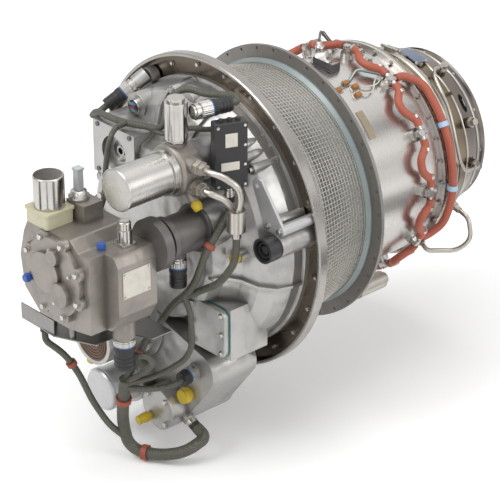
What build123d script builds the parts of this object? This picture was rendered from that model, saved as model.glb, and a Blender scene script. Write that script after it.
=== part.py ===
"""Turboshaft engine: front gearbox, radial inlet, centrifugal compressor, reverse-flow combustor.

Frame: millimetres. The shaft line is the Y axis, the gearbox points to -Y and the exhaust to +Y,
+X is on the right seen from the exhaust end, and +Z is up. The origin is on the shaft
line, at the front face of the rear mounting flange.
"""

from build123d import *
from math import atan, cos, pi, radians, sin, sqrt, tan
import os

os.makedirs("parts", exist_ok=True)

# Running and seating clearances
running_gap = 0.05
seat_gap = 0.25
blade_gap = 0.6

# Rear mounting flange, the part that the airframe's firewall bolts to
flange_radius = 240.0
flange_thickness = 6.0
flange_bore = 186.0
flange_hole_count = 36
flange_hole_radius = 2.7
flange_hole_circle = 233.5
inlet_band_bore = 206.0
inlet_band_radius = 218.0
inlet_band_depth = 9.0

# Front fire-seal ring, a shallow pan with a rolled lip
seal_radius = 270.0
seal_lip_front = -169.0
seal_web_front = -155.0
seal_sheet = 2.5

# Inlet screen between the two rings
screen_front_radius = 236.0
screen_rear_radius = 209.0
screen_thickness = 1.4
screen_columns = 40
screen_rows = 3
screen_rib = 3.2
screen_end_band = 7.0

# Gas generator case and the joints behind it
case_radius = 185.0
case_wall = 2.0
case_front = 12.0
case_joint = 205.0
case_flange_radius = 193.0
case_flange_thickness = 5.0
case_bolt_count = 30
case_bolt_circle = 189.0
case_bolt_radius = 1.8
turbine_case_radius = 181.0
turbine_case_rear = 250.0
strap_radius = 167.0
strap_width = 12.0

# Exhaust duct
exhaust_front = 262.0
exhaust_rear = 356.0
exhaust_front_radius = 161.0
exhaust_rear_radius = 137.0
exhaust_wall = 1.6
exhaust_cone_radius = 58.0
exhaust_port_angle = 37.0
exhaust_port_station = 318.0

exhaust_bosses = ((24, 306), (61.5, 306), (-3, 306))
exhaust_boss_seat = 164.0

# Shaft line
power_shaft_radius = 8.0
spool_bore = 10.0
spool_radius = 15.0
impeller_front = 18.0
impeller_rear = 66.0
impeller_eye_radius = 56.0
impeller_tip_radius = 104.0
impeller_hub_radius = 22.0
impeller_blades = 12
diffuser_radius = 158.0
diffuser_vanes = 21
generator_turbine_station = 134.0
generator_turbine_radius = 79.0
power_turbine_station = 222.0
power_turbine_radius = 92.0
disc_width = 12.0
turbine_blades = 28

# Gears: one module, 20 degree teeth
module = 2.0
pressure_angle = 20.0
backlash = 0.16
face_width = 14.0
accessory_gear_station = -166.0
first_stage_station = -204.0
second_stage_station = -234.0
spool_pinion_teeth = 24
starter_idler_teeth = 48
starter_gear_teeth = 22
pump_idler_teeth = 40
pump_gear_teeth = 29
power_pinion_teeth = 20
intermediate_teeth = 84
intermediate_pinion_teeth = 26
output_teeth = 51
starter_direction = 123.5
pump_direction = 25.8
output_direction = -103.7

# Gearbox castings
gearbox_rear = -155.0
gearbox_front = -290.0
gearbox_radius = 227.0
gearbox_wall = 8.0
front_wall = 9.0
output_housing_front = -385.0
output_housing_radius = 47.0
oil_filter_radius = 38.0
oil_filter_front = -372.0
sump_radius = 38.0
sump_front = -318.0
oil_filter_place = (-42.0, -280.0)
sump_place = (42.0, -300.0)
starter_pad_size = 104.0
starter_pad_front = -298.0
starter_pad_bore = 30.0

# Fuel control and pump
control_front = -510.0
control_rear = -392.0
control_place = (24.0, 8.0)
pump_radius = 33.0

# Oil filter and pressure switch on top
filter_place = (92.0, 156.0)
filter_x, filter_z = filter_place
filter_bowl_radius = 34.0
filter_bowl_front = -430.0
filter_head_front = -331.0
filter_head_rear = -290.0
filter_head_middle = -310.0

# Connectors on the casting: start, direction, shell length, cap length, radius
casting_plugs = (
    ((-144, -196, 192), (-0.28, -0.8, -0.53), 26, 34, 12),
    ((104, -292, -214), (0.1, -1, -0.1), 14, 14, 13),
)

# Small screwed bosses round the casting: place and front face
casting_bosses = (
    ((164, 148), -218), ((148, 162), -226), ((132, 175), -218), ((-28, 222), -215), ((47, 219), -215),
    ((-196, 108), -216), ((-218, 40), -218), ((-212, -67), -218),
)
rib_angles = (-12, 74, 100, 158, 176, 194, 212)
rib_thickness = 6.0

# Port on the side of the sump
sump_port_direction = Vector(0.936, 0, -0.353).normalized()
sump_port = Vector(sump_place[0], -285, sump_place[1]) + sump_port_direction * 46

# Bosses that carry a capped port: place and front face
capped_bosses = (((172, 10), -254),)
lifting_bolts = ((215, 73), (243, 73))
lifting_eye = (192, 135)

# Oil sight glass
sight_place = (-92.0, 180.0)
sight_seat = -238.0

# Access port and electronics box on the upper right
round_port_place = (231.0, 43.0)
round_port_seat = -231.0
box_centre = Vector(156.6, -257.9, 185.3)
box_facing = Vector(0.92, -0.38, 0).normalized()
box_width = 54.0
box_height = 112.0
box_depth = 20.0
box_along = Vector(0, 0, 1).cross(box_facing)
box_back = Plane(origin=box_centre - box_facing * (box_depth / 2), x_dir=box_along, z_dir=box_facing)

# Drain tube
drain_angle = -18.0
drain_station = 238.0
drain_seat = 182.0
drain_radius = 4.0

# Fuel manifold
nozzle_count = 12
nozzle_station = 153.0
nozzle_boss_height = 7.0
hose_radius = 7.0
hose_line = 202.0
hose_start = 3.4
hose_first_bend = 6.8


def station(y):
    """A sketch plane across the shaft line at station y: local x is X, local y is Z, facing forwards."""
    return Plane.XZ.offset(-y)


def around(radius, angle):
    """The X and Z of a point at this radius and angle about the shaft line."""
    return (radius * cos(radians(angle)), radius * sin(radians(angle)))


def on_case(radius, angle, y):
    """A point in space at this radius, angle and station."""
    x, z = around(radius, angle)
    return (x, y, z)


def turned(outline, mode=Mode.ADD):
    """Revolve a closed outline of (radius, station) points about the shaft line."""
    with BuildSketch(Plane.XY) as section:
        with BuildLine():
            Polyline(*outline, close=True)
        make_face()
    revolve(section.sketch, axis=Axis.Y, mode=mode)


def rod(place, front, rear, radius, mode=Mode.ADD):
    """A round bar along Y at place (x, z) from the front station to the rear one."""
    with BuildSketch(station(rear)) as section:
        with Locations(place):
            Circle(radius)
    extrude(section.sketch, amount=rear - front, mode=mode)


def tube(place, front, rear, outer, inner, mode=Mode.ADD):
    """A round tube along Y at place (x, z)."""
    with BuildSketch(station(rear)) as section:
        with Locations(place):
            Circle(outer)
            Circle(inner, mode=Mode.SUBTRACT)
    extrude(section.sketch, amount=rear - front, mode=mode)


def slab(corner, size, mode=Mode.ADD):
    """A box from its lowest corner."""
    with Locations(corner):
        Box(*size, align=(Align.MIN, Align.MIN, Align.MIN), mode=mode)


def pin(start, direction, length, radius, mode=Mode.ADD):
    """A round bar from a start point in any direction."""
    with BuildSketch(Plane(origin=start, z_dir=direction)) as section:
        Circle(radius)
    extrude(section.sketch, amount=length, mode=mode)


def hexagon(start, direction, length, across_flats, mode=Mode.ADD):
    """A hexagon bar from a start point in any direction."""
    with BuildSketch(Plane(origin=start, z_dir=direction)) as section:
        RegularPolygon(across_flats / 2, 6, major_radius=False)
    extrude(section.sketch, amount=length, mode=mode)


def discs(places, front, rear, radius, mode=Mode.ADD):
    """Round bars along Y at several places at once."""
    with BuildSketch(station(rear)) as section:
        with Locations(*places):
            Circle(radius)
    extrude(section.sketch, amount=rear - front, mode=mode)


def hexagons(places, front, rear, across_flats):
    """Hexagon bars along Y at several places at once."""
    with BuildSketch(station(rear)) as section:
        with Locations(*places):
            RegularPolygon(across_flats / 2, 6, major_radius=False)
    extrude(section.sketch, amount=rear - front)


def bolt_heads(places, seat, across_flats=8.0, height=5.0):
    """Flanged hexagon heads that seat on a face at station seat and look forwards."""
    washer = 0.3 * height
    discs(places, seat - washer, seat, 0.62 * across_flats)
    hexagons(places, seat - height, seat - washer, across_flats)


def ring_of(centre, radius, angles):
    """The places at these angles on a circle about a centre."""
    places = []
    for angle in angles:
        x, z = around(radius, angle)
        places.append((centre[0] + x, centre[1] + z))
    return places


def bend_radii(points):
    """The bend radius at each inner point: as large as its two runs allow."""
    radii = []
    for before, here, after in zip(points, points[1:], points[2:]):
        first = Vector(*here) - Vector(*before)
        second = Vector(*after) - Vector(*here)
        turn = radians(first.get_angle(second))
        radii.append(0.45 * min(first.length, second.length) / tan(turn / 2))
    return radii


def hose(points, radius, mode=Mode.ADD):
    """A round hose along straight runs joined by tangent bends."""
    with BuildLine() as route:
        if len(points) > 2:
            FilletPolyline(*points, radius=bend_radii(points))
        else:
            Line(*points)
    with BuildSketch(Plane(origin=route.line @ 0, z_dir=route.line % 0)) as section:
        Circle(radius)
    sweep(section.sketch, path=route.line, mode=mode)


def pitch_radius(teeth):
    return module * teeth / 2


def mesh_phase(direction, driver_teeth, driver_phase, teeth):
    """The tooth angle of a gear in mesh with its driver, which lies in the opposite direction."""
    return direction + 180 - ((driver_phase - direction) * driver_teeth + 180) / teeth


def involute_point(base_radius, radius, tooth_angle, side):
    """A point of a tooth flank. tooth_angle is half the tooth's angle on the base circle, in radians."""
    roll = sqrt(max((radius / base_radius) ** 2 - 1, 0))
    angle = side * (tooth_angle - (roll - atan(roll)))
    return (radius * cos(angle), radius * sin(angle))


def toothed_wheel(place, y, teeth, phase, width=face_width, bore=0.0):
    """A spur gear at place (x, z), from station y - width/2 to y + width/2."""
    radius = pitch_radius(teeth)
    base = radius * cos(radians(pressure_angle))
    tip = radius + module
    root = radius - 1.25 * module
    at_pitch = radians(pressure_angle)
    half = (pi * module / 2 - backlash) / (2 * radius) + tan(at_pitch) - at_pitch
    foot = max(root, base)
    mid = (foot + tip) / 2
    with BuildSketch(station(y + width / 2)) as wheel:
        with Locations(place):
            Circle(root + 0.05)
            with PolarLocations(0, teeth, start_angle=phase):
                with BuildSketch(mode=Mode.PRIVATE) as tooth:
                    with BuildLine():
                        lower = [involute_point(base, r, half, -1) for r in (foot, mid, tip)]
                        upper = [involute_point(base, r, half, 1) for r in (foot, mid, tip)]
                        Line((root - 0.5, lower[0][1]), lower[0])
                        ThreePointArc(*lower)
                        Line(lower[2], upper[2])
                        ThreePointArc(*reversed(upper))
                        Line(upper[0], (root - 0.5, upper[0][1]))
                        Line((root - 0.5, upper[0][1]), (root - 0.5, lower[0][1]))
                    make_face()
                add(tooth.sketch)
            if bore:
                Circle(bore, mode=Mode.SUBTRACT)
    extrude(wheel.sketch, amount=width)


def finish(part, name):
    """Label a finished piece and write it."""
    part.label = name
    export_step(part, f"parts/{name}.step")


# Shaft places, from the gear centre distances
starter_idler_place = around(pitch_radius(spool_pinion_teeth + starter_idler_teeth), starter_direction)
starter_distance = pitch_radius(spool_pinion_teeth + 2 * starter_idler_teeth + starter_gear_teeth)
starter_place = around(starter_distance, starter_direction)
pump_idler_place = around(pitch_radius(spool_pinion_teeth + pump_idler_teeth), pump_direction)
pump_distance = pitch_radius(spool_pinion_teeth + 2 * pump_idler_teeth + pump_gear_teeth)
pump_place = around(pump_distance, pump_direction)
first_distance = pitch_radius(power_pinion_teeth + intermediate_teeth)
intermediate_place = around(first_distance, output_direction)
output_distance = first_distance + pitch_radius(intermediate_pinion_teeth + output_teeth)
output_place = around(output_distance, output_direction)

# Tooth angles that put every pair in mesh at rest
spool_phase = starter_direction
starter_idler_phase = mesh_phase(starter_direction, spool_pinion_teeth, spool_phase, starter_idler_teeth)
starter_phase = mesh_phase(
    starter_direction, starter_idler_teeth, starter_idler_phase, starter_gear_teeth
)
pump_idler_phase = mesh_phase(pump_direction, spool_pinion_teeth, spool_phase, pump_idler_teeth)
pump_phase = mesh_phase(pump_direction, pump_idler_teeth, pump_idler_phase, pump_gear_teeth)
power_phase = output_direction
intermediate_phase = mesh_phase(output_direction, power_pinion_teeth, power_phase, intermediate_teeth)
intermediate_pinion_phase = output_direction
output_phase = mesh_phase(
    output_direction, intermediate_pinion_teeth, intermediate_pinion_phase, output_teeth
)

# Rear mounting flange
with BuildPart() as rear_mount_flange:
    with BuildSketch(station(flange_thickness)):
        Circle(flange_radius)
        Circle(flange_bore, mode=Mode.SUBTRACT)
        with PolarLocations(flange_hole_circle, flange_hole_count, start_angle=180 / flange_hole_count):
            Circle(flange_hole_radius, mode=Mode.SUBTRACT)
    extrude(amount=flange_thickness)
finish(rear_mount_flange.part, "rear_mount_flange")

# Pale band that carries the screen's rear edge
with BuildPart() as inlet_band:
    turned([
        (inlet_band_bore, 0), (inlet_band_radius, 0), (inlet_band_radius, -3),
        (inlet_band_bore + 6, -inlet_band_depth), (inlet_band_bore, -inlet_band_depth),
    ])
finish(inlet_band.part, "inlet_band")

# Fire-seal ring
seal_bore = screen_front_radius - 12
with BuildPart() as fire_seal_ring:
    turned([
        (seal_bore, seal_web_front), (seal_bore, seal_web_front + seal_sheet),
        (seal_radius, seal_web_front + seal_sheet), (seal_radius, seal_lip_front + 2),
        (seal_radius - 2, seal_lip_front), (seal_radius - 6, seal_lip_front),
        (seal_radius - 6, seal_lip_front + seal_sheet),
        (seal_radius - seal_sheet, seal_lip_front + seal_sheet),
        (seal_radius - seal_sheet, seal_web_front),
    ])
finish(fire_seal_ring.part, "fire_seal_ring")

# Inlet screen: two end bands, with open windows between the ribs
screen_front = seal_web_front + seal_sheet
screen_rear = -inlet_band_depth
screen_length = screen_rear - screen_front
window_length = (screen_length - 2 * screen_end_band - (screen_rows - 1) * screen_rib) / screen_rows
with BuildPart() as inlet_screen:
    turned([
        (screen_front_radius, screen_front), (screen_front_radius + screen_thickness, screen_front),
        (screen_rear_radius + screen_thickness, screen_rear), (screen_rear_radius, screen_rear),
    ])
    for row in range(screen_rows):
        centre = (
            screen_front + screen_end_band + window_length / 2 + row * (window_length + screen_rib)
        )
        row_radius = screen_front_radius + (centre - screen_front) / screen_length * (
            screen_rear_radius - screen_front_radius
        )
        window_width = 2 * pi * row_radius / screen_columns - screen_rib
        with Locations(station(centre)):
            with PolarLocations(row_radius, screen_columns):
                Box(40, window_width, window_length, mode=Mode.SUBTRACT)
finish(inlet_screen.part, "inlet_screen")

# Bell-mouth and shroud over the impeller
shroud_wall = 3.0
shroud_line = [
    (inlet_band_bore - seat_gap, -5), (150, -3), (100, 0), (impeller_eye_radius + 4, 12),
    (impeller_eye_radius + blade_gap, 24), (impeller_eye_radius + 6, 38), (80, 50),
    (impeller_tip_radius + 3, 55),
]
with BuildPart() as impeller_shroud:
    with BuildSketch(Plane.XY) as section:
        with BuildLine():
            inner = Spline(*shroud_line)
            Line(inner @ 1, (impeller_tip_radius + 3, 55 - shroud_wall))
            outer = Spline(
                (impeller_tip_radius + 3, 55 - shroud_wall), (82, 47), (66, 36),
                (impeller_eye_radius + blade_gap + shroud_wall, 24), (64, 14.5), (100, 3), (150, 0),
                (inlet_band_bore - seat_gap, -5 + shroud_wall),
            )
            Line(outer @ 1, inner @ 0)
        make_face()
    revolve(axis=Axis.Y)
finish(impeller_shroud.part, "impeller_shroud")

# Inlet housing: the smooth inner wall of the air inlet, with the front bearing in its nose
nose_rear = 8.0
nose_bearing_radius = 28.0
with BuildPart() as inlet_housing:
    with BuildSketch(Plane.XY) as section:
        with BuildLine():
            outside = Spline(
                (229, -147), (214, -116), (190, -80), (152, -47), (108, -22), (68, -5),
                (nose_bearing_radius + 7, nose_rear),
            )
            Line(outside @ 1, (nose_bearing_radius, nose_rear))
            Line((nose_bearing_radius, nose_rear), (nose_bearing_radius, -14))
            Line((nose_bearing_radius, -14), (nose_bearing_radius + 8, -14))
            inside = Spline(
                (nose_bearing_radius + 8, -14), (66, -11), (105, -27), (148, -52), (185, -84),
                (209, -118), (222, -145),
            )
            Line(inside @ 1, (218, -145))
            Polyline(
                (218, -145), (218, -149), (223.5, -149), (223.5, -152.5), (233, -152.5),
                (233, -148), (229, -147),
            )
        make_face()
    revolve(axis=Axis.Y)
finish(inlet_housing.part, "inlet_housing")

# Partition between the gearbox and the inlet housing, with stub axles for the two idlers
shaft_radius = 9.0
stub_radius = 10.0
partition_rear = -149.0
idler_front = accessory_gear_station - face_width / 2 - 4
with BuildPart() as gearbox_partition:
    tube((0, 0), gearbox_rear, partition_rear, 223.25, spool_radius + 6)
    for place in (starter_idler_place, pump_idler_place):
        rod(place, idler_front, gearbox_rear, stub_radius)
        rod(place, gearbox_rear - 3, gearbox_rear, stub_radius + 6)
    for place in (starter_place, pump_place, intermediate_place):
        tube(place, gearbox_rear - 3, gearbox_rear, shaft_radius + 7, shaft_radius + running_gap)
        rod(place, gearbox_rear - 1, partition_rear, shaft_radius + running_gap, Mode.SUBTRACT)
finish(gearbox_partition.part, "gearbox_partition")

# Gas generator spool: hollow shaft with its pinion, impeller and turbine
spool_front = accessory_gear_station - face_width / 2 - 2
spool_rear = generator_turbine_station + disc_width / 2 + 8
with BuildPart() as gas_generator_shaft:
    tube((0, 0), spool_front, spool_rear, spool_radius, spool_bore)
    toothed_wheel((0, 0), accessory_gear_station, spool_pinion_teeth, spool_phase, bore=spool_bore)
    tube((0, 0), spool_rear - 6, spool_rear, spool_radius + 3, spool_bore)
finish(gas_generator_shaft.part, "gas_generator_shaft")

seat_bore = spool_radius + running_gap
with BuildPart() as compressor_impeller:
    with BuildSketch(Plane.XY) as section:
        with BuildLine():
            hub = Spline((impeller_hub_radius, impeller_front), (25, 30), (36, 44), (57, 54), (impeller_tip_radius, 60))
            Polyline(
                (impeller_tip_radius, 60), (impeller_tip_radius, 63), (60, 67), (30, 76),
                (seat_bore, 76), (seat_bore, impeller_front), (impeller_hub_radius, impeller_front),
            )
        make_face()
    revolve(axis=Axis.Y)
    blade_thickness = 1.4
    with BuildSketch(Plane.XY.offset(-blade_thickness / 2)) as blade_outline:
        with BuildLine():
            tip = Spline(
                (impeller_eye_radius, impeller_front + 2), (impeller_eye_radius, 25), (60.5, 39),
                (79, 51.4), (impeller_tip_radius, 56.4),
            )
            Line(tip @ 1, (impeller_tip_radius, 61))
            Polyline((impeller_tip_radius, 61), (57, 56), (36, 46.5), (24, 31), (18, 20))
            Line((18, 20), tip @ 0)
        make_face()
    with BuildPart(mode=Mode.PRIVATE) as blade:
        extrude(blade_outline.sketch, amount=blade_thickness)
    with BuildPart(mode=Mode.PRIVATE) as splitter:
        add(blade.part)
        with Locations((0, 20, 0)):
            Box(300, 2 * 20, 20, mode=Mode.SUBTRACT)
    pitch = 360 / impeller_blades
    add([blade.part.rotate(Axis.Y, pitch * number) for number in range(impeller_blades)])
    add([splitter.part.rotate(Axis.Y, pitch * (number + 0.5)) for number in range(impeller_blades)])
    # Trim every blade to the shroud's own line, moved inwards by the blade gap
    with BuildSketch(Plane.XY) as section:
        with BuildLine():
            line = Spline(*[(r - blade_gap, y + blade_gap) for r, y in shroud_line])
            Polyline(
                line @ 1, (impeller_tip_radius + 30, 60), (impeller_tip_radius + 120, 60),
                (impeller_tip_radius + 120, -30), line @ 0,
            )
        make_face()
    revolve(section.sketch, axis=Axis.Y, mode=Mode.SUBTRACT)
finish(compressor_impeller.part, "compressor_impeller")


def bladed_disc(y, bore, rim, tip, blades, lean):
    """A turbine wheel: a waisted disc with leaning blades round its rim."""
    half = disc_width / 2
    turned([
        (bore, y - half - 2), (bore, y + half + 2), (bore + 9, y + half + 2), (bore + 13, y + 3),
        (rim - 8, y + 3), (rim - 4, y + half), (rim, y + half), (rim, y - half),
        (rim - 4, y - half), (rim - 8, y - 3), (bore + 13, y - 3), (bore + 9, y - half - 2),
    ])
    with BuildPart(mode=Mode.PRIVATE) as vane:
        with BuildSketch(Plane.XY):
            with BuildLine():
                ThreePointArc((-half, -1), (0, 2.2), (half, -1))
                ThreePointArc((half, -1), (0, 0.4), (-half, -1))
            make_face()
        extrude(amount=tip - rim + 1.5)
    vanes = []
    for number in range(blades):
        angle = 360 * number / blades
        vane_plane = Plane(
            origin=on_case(rim - 1.5, angle, y),
            z_dir=on_case(1, angle, 0),
            x_dir=(-sin(radians(angle)) * sin(radians(lean)), cos(radians(lean)),
                   cos(radians(angle)) * sin(radians(lean))),
        )
        vanes.append(vane.part.moved(vane_plane.location))
    add(vanes)


with BuildPart() as compressor_turbine:
    bladed_disc(
        generator_turbine_station, seat_bore, generator_turbine_radius - 22, generator_turbine_radius,
        turbine_blades, 30,
    )
finish(compressor_turbine.part, "compressor_turbine")

with BuildPart() as power_turbine:
    bladed_disc(
        power_turbine_station, power_shaft_radius + running_gap, power_turbine_radius - 34,
        power_turbine_radius, turbine_blades, -28,
    )
finish(power_turbine.part, "power_turbine")

power_shaft_front = gearbox_front + front_wall + 1.5
power_shaft_rear = power_turbine_station + 34
with BuildPart() as power_turbine_shaft:
    rod((0, 0), power_shaft_front, power_shaft_rear, power_shaft_radius)
    toothed_wheel((0, 0), first_stage_station, power_pinion_teeth, power_phase)
    rod((0, 0), power_turbine_station + disc_width / 2 + 2, power_turbine_station + 16, power_shaft_radius + 4)
finish(power_turbine_shaft.part, "power_turbine_shaft")

# Stator parts of the hot section
with BuildPart() as diffuser:
    turned([
        (impeller_tip_radius + 3.25, 52), (case_radius - case_wall - seat_gap, 52),
        (case_radius - case_wall - seat_gap, 55), (impeller_tip_radius + 3.25, 55),
    ])
    turned([
        (diffuser_radius, 64), (diffuser_radius, 67), (110, 67), (38, 84), (34, 92), (34, 118),
        (26.05, 118), (26.05, 88), (22, 88), (22, 84), (32, 81), (106, 64),
    ])
    vane_length = 44
    with Locations(station(59.5)):
        with PolarLocations(134, diffuser_vanes):
            with Locations(Location((0, 0, 0), (0, 0, 28))):
                Box(vane_length, 2, 9.6)
finish(diffuser.part, "diffuser")

liner_sheet = 1.4
nozzle_hole = 5.4
with BuildPart() as combustor_liner:
    with BuildSketch(Plane.XY) as section:
        with BuildLine() as wall:
            FilletPolyline((164, 92), (164, 190), (98, 190), (98, 120), radius=14)
            offset(amount=liner_sheet, side=Side.LEFT)
        make_face()
    revolve(axis=Axis.Y)
    with Locations(station(nozzle_station)):
        with PolarLocations(155, nozzle_count):
            with Locations(Location((0, 0, 0), (0, 90, 0))):
                Cylinder(nozzle_hole, 40, mode=Mode.SUBTRACT)
finish(combustor_liner.part, "combustor_liner")

with BuildPart() as turning_duct:
    with BuildSketch(Plane.XY) as section:
        with BuildLine() as wall:
            FilletPolyline((161.8, 104), (161.8, 78), (57, 78), (57, 111), radius=[18, 14])
            offset(amount=liner_sheet, side=Side.RIGHT)
        make_face()
    revolve(axis=Axis.Y)
finish(turning_duct.part, "turning_duct")


def vane_ring(y, inner, outer, count, lean):
    """Guide vanes between an inner and an outer ring."""
    chord = 13
    with Locations(station(y)):
        with PolarLocations((inner + outer) / 2, count):
            with Locations(Location((0, 0, 0), (lean, 0, 0))):
                Box(outer - inner + 2, 1.8, chord)


with BuildPart() as turbine_nozzle:
    tube((0, 0), 111.5, 126, 57.0 - liner_sheet - seat_gap, 52)
    tube((0, 0), 111.5, 126, 82.5, 80)
    turned([(80, 112), (80, 115), (96.1, 122), (96.1, 119)])
    tube((0, 0), 114, 117, 53, 34 + seat_gap)
    vane_ring(118.5, 54, 81, 19, 40)
finish(turbine_nozzle.part, "turbine_nozzle")

with BuildPart() as power_turbine_nozzle:
    shroud_radius = power_turbine_radius + blade_gap
    turned([
        (80, 126 + seat_gap), (82.5, 126 + seat_gap), (83, 160), (96, 188), (96, 236),
        (shroud_radius, 236), (shroud_radius, 189), (80, 162),
    ])
    turned([(55, 150), (57, 150), (59.5, 190), (59.5, 211), (56, 211), (56, 190)])
    vane_ring(202, 57.5, 94, 23, -38)
finish(power_turbine_nozzle.part, "power_turbine_nozzle")

# Gas generator case: the polished drum, with a boss for each fuel nozzle
case_bore = case_radius - case_wall
boss_radius = 12.0
with BuildPart() as gas_generator_case:
    turned([
        (case_bore, flange_thickness), (200, flange_thickness), (200, 10), (189, 10), (188, 11),
        (188, 24), (case_radius, 27), (case_radius, case_joint - case_flange_thickness),
        (case_flange_radius, case_joint - case_flange_thickness), (case_flange_radius, case_joint),
        (case_bore, case_joint),
    ])
    for number in range(nozzle_count):
        angle = 360 * number / nozzle_count
        pin(on_case(case_radius - 1.5, angle, nozzle_station), on_case(1, angle, 0), nozzle_boss_height + 1.5,
            boss_radius)
    with Locations(station(nozzle_station)):
        with PolarLocations(case_radius, nozzle_count):
            with Locations(Location((0, 0, 0), (0, 90, 0))):
                Cylinder(nozzle_hole, 30, mode=Mode.SUBTRACT)
    with Locations(station(case_joint)):
        with PolarLocations(case_bolt_circle, case_bolt_count):
            Cylinder(case_bolt_radius + 0.2, 12, mode=Mode.SUBTRACT)
finish(gas_generator_case.part, "gas_generator_case")

# Turbine support case: bolts to the drum, necks down to the strap, and carries the turbine shroud
with BuildPart() as turbine_support_case:
    turned([
        (case_bore, case_joint), (case_flange_radius, case_joint),
        (case_flange_radius, case_joint + case_flange_thickness), (turbine_case_radius + 2, case_joint + 5),
        (turbine_case_radius, case_joint + 8), (turbine_case_radius, 222), (strap_radius - 2, turbine_case_rear - 2),
        (strap_radius - 2, exhaust_front), (strap_radius - 5, exhaust_front),
        (strap_radius - 5, turbine_case_rear - 4), (turbine_case_radius - 3, 220),
        (turbine_case_radius - 3, 214), (96 + seat_gap, 214), (96 + seat_gap, 211), (case_bore - 4, 211),
    ])
    # Boss of the drain tube
    pin(on_case(165, drain_angle, drain_station), on_case(1, drain_angle, 0), drain_seat - 165, 8)
    with Locations(station(case_joint)):
        with PolarLocations(case_bolt_circle, case_bolt_count):
            Cylinder(case_bolt_radius + 0.2, 12, mode=Mode.SUBTRACT)
finish(turbine_support_case.part, "turbine_support_case")

# Bolts of the case joint, each with its head behind and its nut in front
case_bolt_places = ring_of((0, 0), case_bolt_circle, range(0, 360, 360 // case_bolt_count))
joint_front = case_joint - case_flange_thickness
joint_rear = case_joint + case_flange_thickness
with BuildPart() as case_bolts:
    discs(case_bolt_places, joint_front - 6, joint_rear, case_bolt_radius)
    discs(case_bolt_places, joint_rear, joint_rear + 1, 3.6)
    hexagons(case_bolt_places, joint_rear + 1, joint_rear + 4, 5.5)
    hexagons(case_bolt_places, joint_front - 4, joint_front, 5.5)
finish(case_bolts.part, "case_bolts")

# V-band strap over the joint of the turbine case and the exhaust duct
with BuildPart() as exhaust_strap:
    turned([
        (strap_radius - 1.8, turbine_case_rear), (strap_radius, turbine_case_rear),
        (strap_radius + 1.5, turbine_case_rear + 3), (strap_radius + 1.5, turbine_case_rear + 9),
        (strap_radius, turbine_case_rear + 12), (strap_radius - 1.8, turbine_case_rear + 12),
    ])
    slab((-9, turbine_case_rear + 1, strap_radius), (18, 10, 9))
finish(exhaust_strap.part, "exhaust_strap")

# Exhaust duct with its bearing hub on four struts
rear_bearing_radius = 18.0
rear_bearing_front = power_turbine_station + 20
rear_bearing_width = 12.0
with BuildPart() as exhaust_duct:
    turned([
        (strap_radius - 5.25, turbine_case_rear + 2), (strap_radius - 5.25, 272),
        (exhaust_front_radius - 3, 290), (exhaust_rear_radius + 2, exhaust_rear - 8),
        (exhaust_rear_radius + 2, exhaust_rear - 3), (exhaust_rear_radius + 4, exhaust_rear),
        (exhaust_rear_radius, exhaust_rear), (exhaust_rear_radius, exhaust_rear - 8),
        (exhaust_front_radius - 5, 289), (strap_radius - 7.25, 271), (strap_radius - 7.25, turbine_case_rear + 2),
    ])
    turned([
        (exhaust_cone_radius, 238), (exhaust_cone_radius, 254), (50, 284), (30, 318), (8, 334),
        (8, 331), (29, 315), (48, 282), (55.5, 258), (rear_bearing_radius + running_gap, 258),
        (rear_bearing_radius + running_gap, rear_bearing_front), (30, rear_bearing_front),
        (34, 252), (54, 252), (55.5, 238),
    ])
    for angle in (45, 135, 225, 315):
        with Locations(station(278)):
            with PolarLocations(106, 1, start_angle=angle):
                Box(110, 6, 34)
    port = Plane(
        origin=on_case(exhaust_rear_radius + 20, exhaust_port_angle, exhaust_port_station),
        z_dir=on_case(-1, exhaust_port_angle, 0),
        x_dir=(-sin(radians(exhaust_port_angle)), 0, cos(radians(exhaust_port_angle))),
    )
    with BuildSketch(port) as oval:
        Ellipse(17, 8)
    extrude(oval.sketch, amount=40, mode=Mode.SUBTRACT)
    for angle, y in exhaust_bosses:
        pin(on_case(150, angle, y), on_case(1, angle, 0), exhaust_boss_seat - 150, 9)
        pin(on_case(150, angle, y), on_case(-1, angle, 0), 14, 12, Mode.SUBTRACT)
finish(exhaust_duct.part, "exhaust_duct")


def bearing(place, front, width, outer, inner):
    """A sealed ball bearing: two races and a recessed seal on each side."""
    inner_race = inner + 0.25 * (outer - inner)
    outer_race = outer - 0.25 * (outer - inner)
    tube(place, front, front + width, outer, inner)
    tube(place, front, front + 1, outer_race, inner_race, Mode.SUBTRACT)
    tube(place, front + width - 1, front + width, outer_race, inner_race, Mode.SUBTRACT)


bearing_radius = 18.0
output_shaft_radius = 16.0
output_bearing_radius = 30.0
front_bearing_front = gearbox_front + front_wall + 1
with BuildPart() as shaft_bearings:
    bearing((0, 0), -13, 16, nose_bearing_radius - running_gap, seat_bore)
    bearing((0, 0), 92, 16, 26, seat_bore)
    bearing((0, 0), front_bearing_front, 11, bearing_radius, power_shaft_radius + running_gap)
    bearing((0, 0), rear_bearing_front, rear_bearing_width, rear_bearing_radius, power_shaft_radius + running_gap)
    for place in (starter_place, pump_place, intermediate_place):
        bearing(place, front_bearing_front, 11, bearing_radius, shaft_radius + running_gap)
    bearing(output_place, -276, 14, output_bearing_radius, output_shaft_radius + running_gap)
    bearing(output_place, -352, 14, output_bearing_radius, output_shaft_radius + running_gap)
finish(shaft_bearings.part, "shaft_bearings")

# Gears that turn on their own shafts
with BuildPart() as starter_idler:
    toothed_wheel(starter_idler_place, accessory_gear_station, starter_idler_teeth, starter_idler_phase,
                  bore=stub_radius + running_gap)
    discs(ring_of(starter_idler_place, 28, range(0, 360, 60)), -175, -158, 8, Mode.SUBTRACT)
finish(starter_idler.part, "starter_idler")

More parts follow.
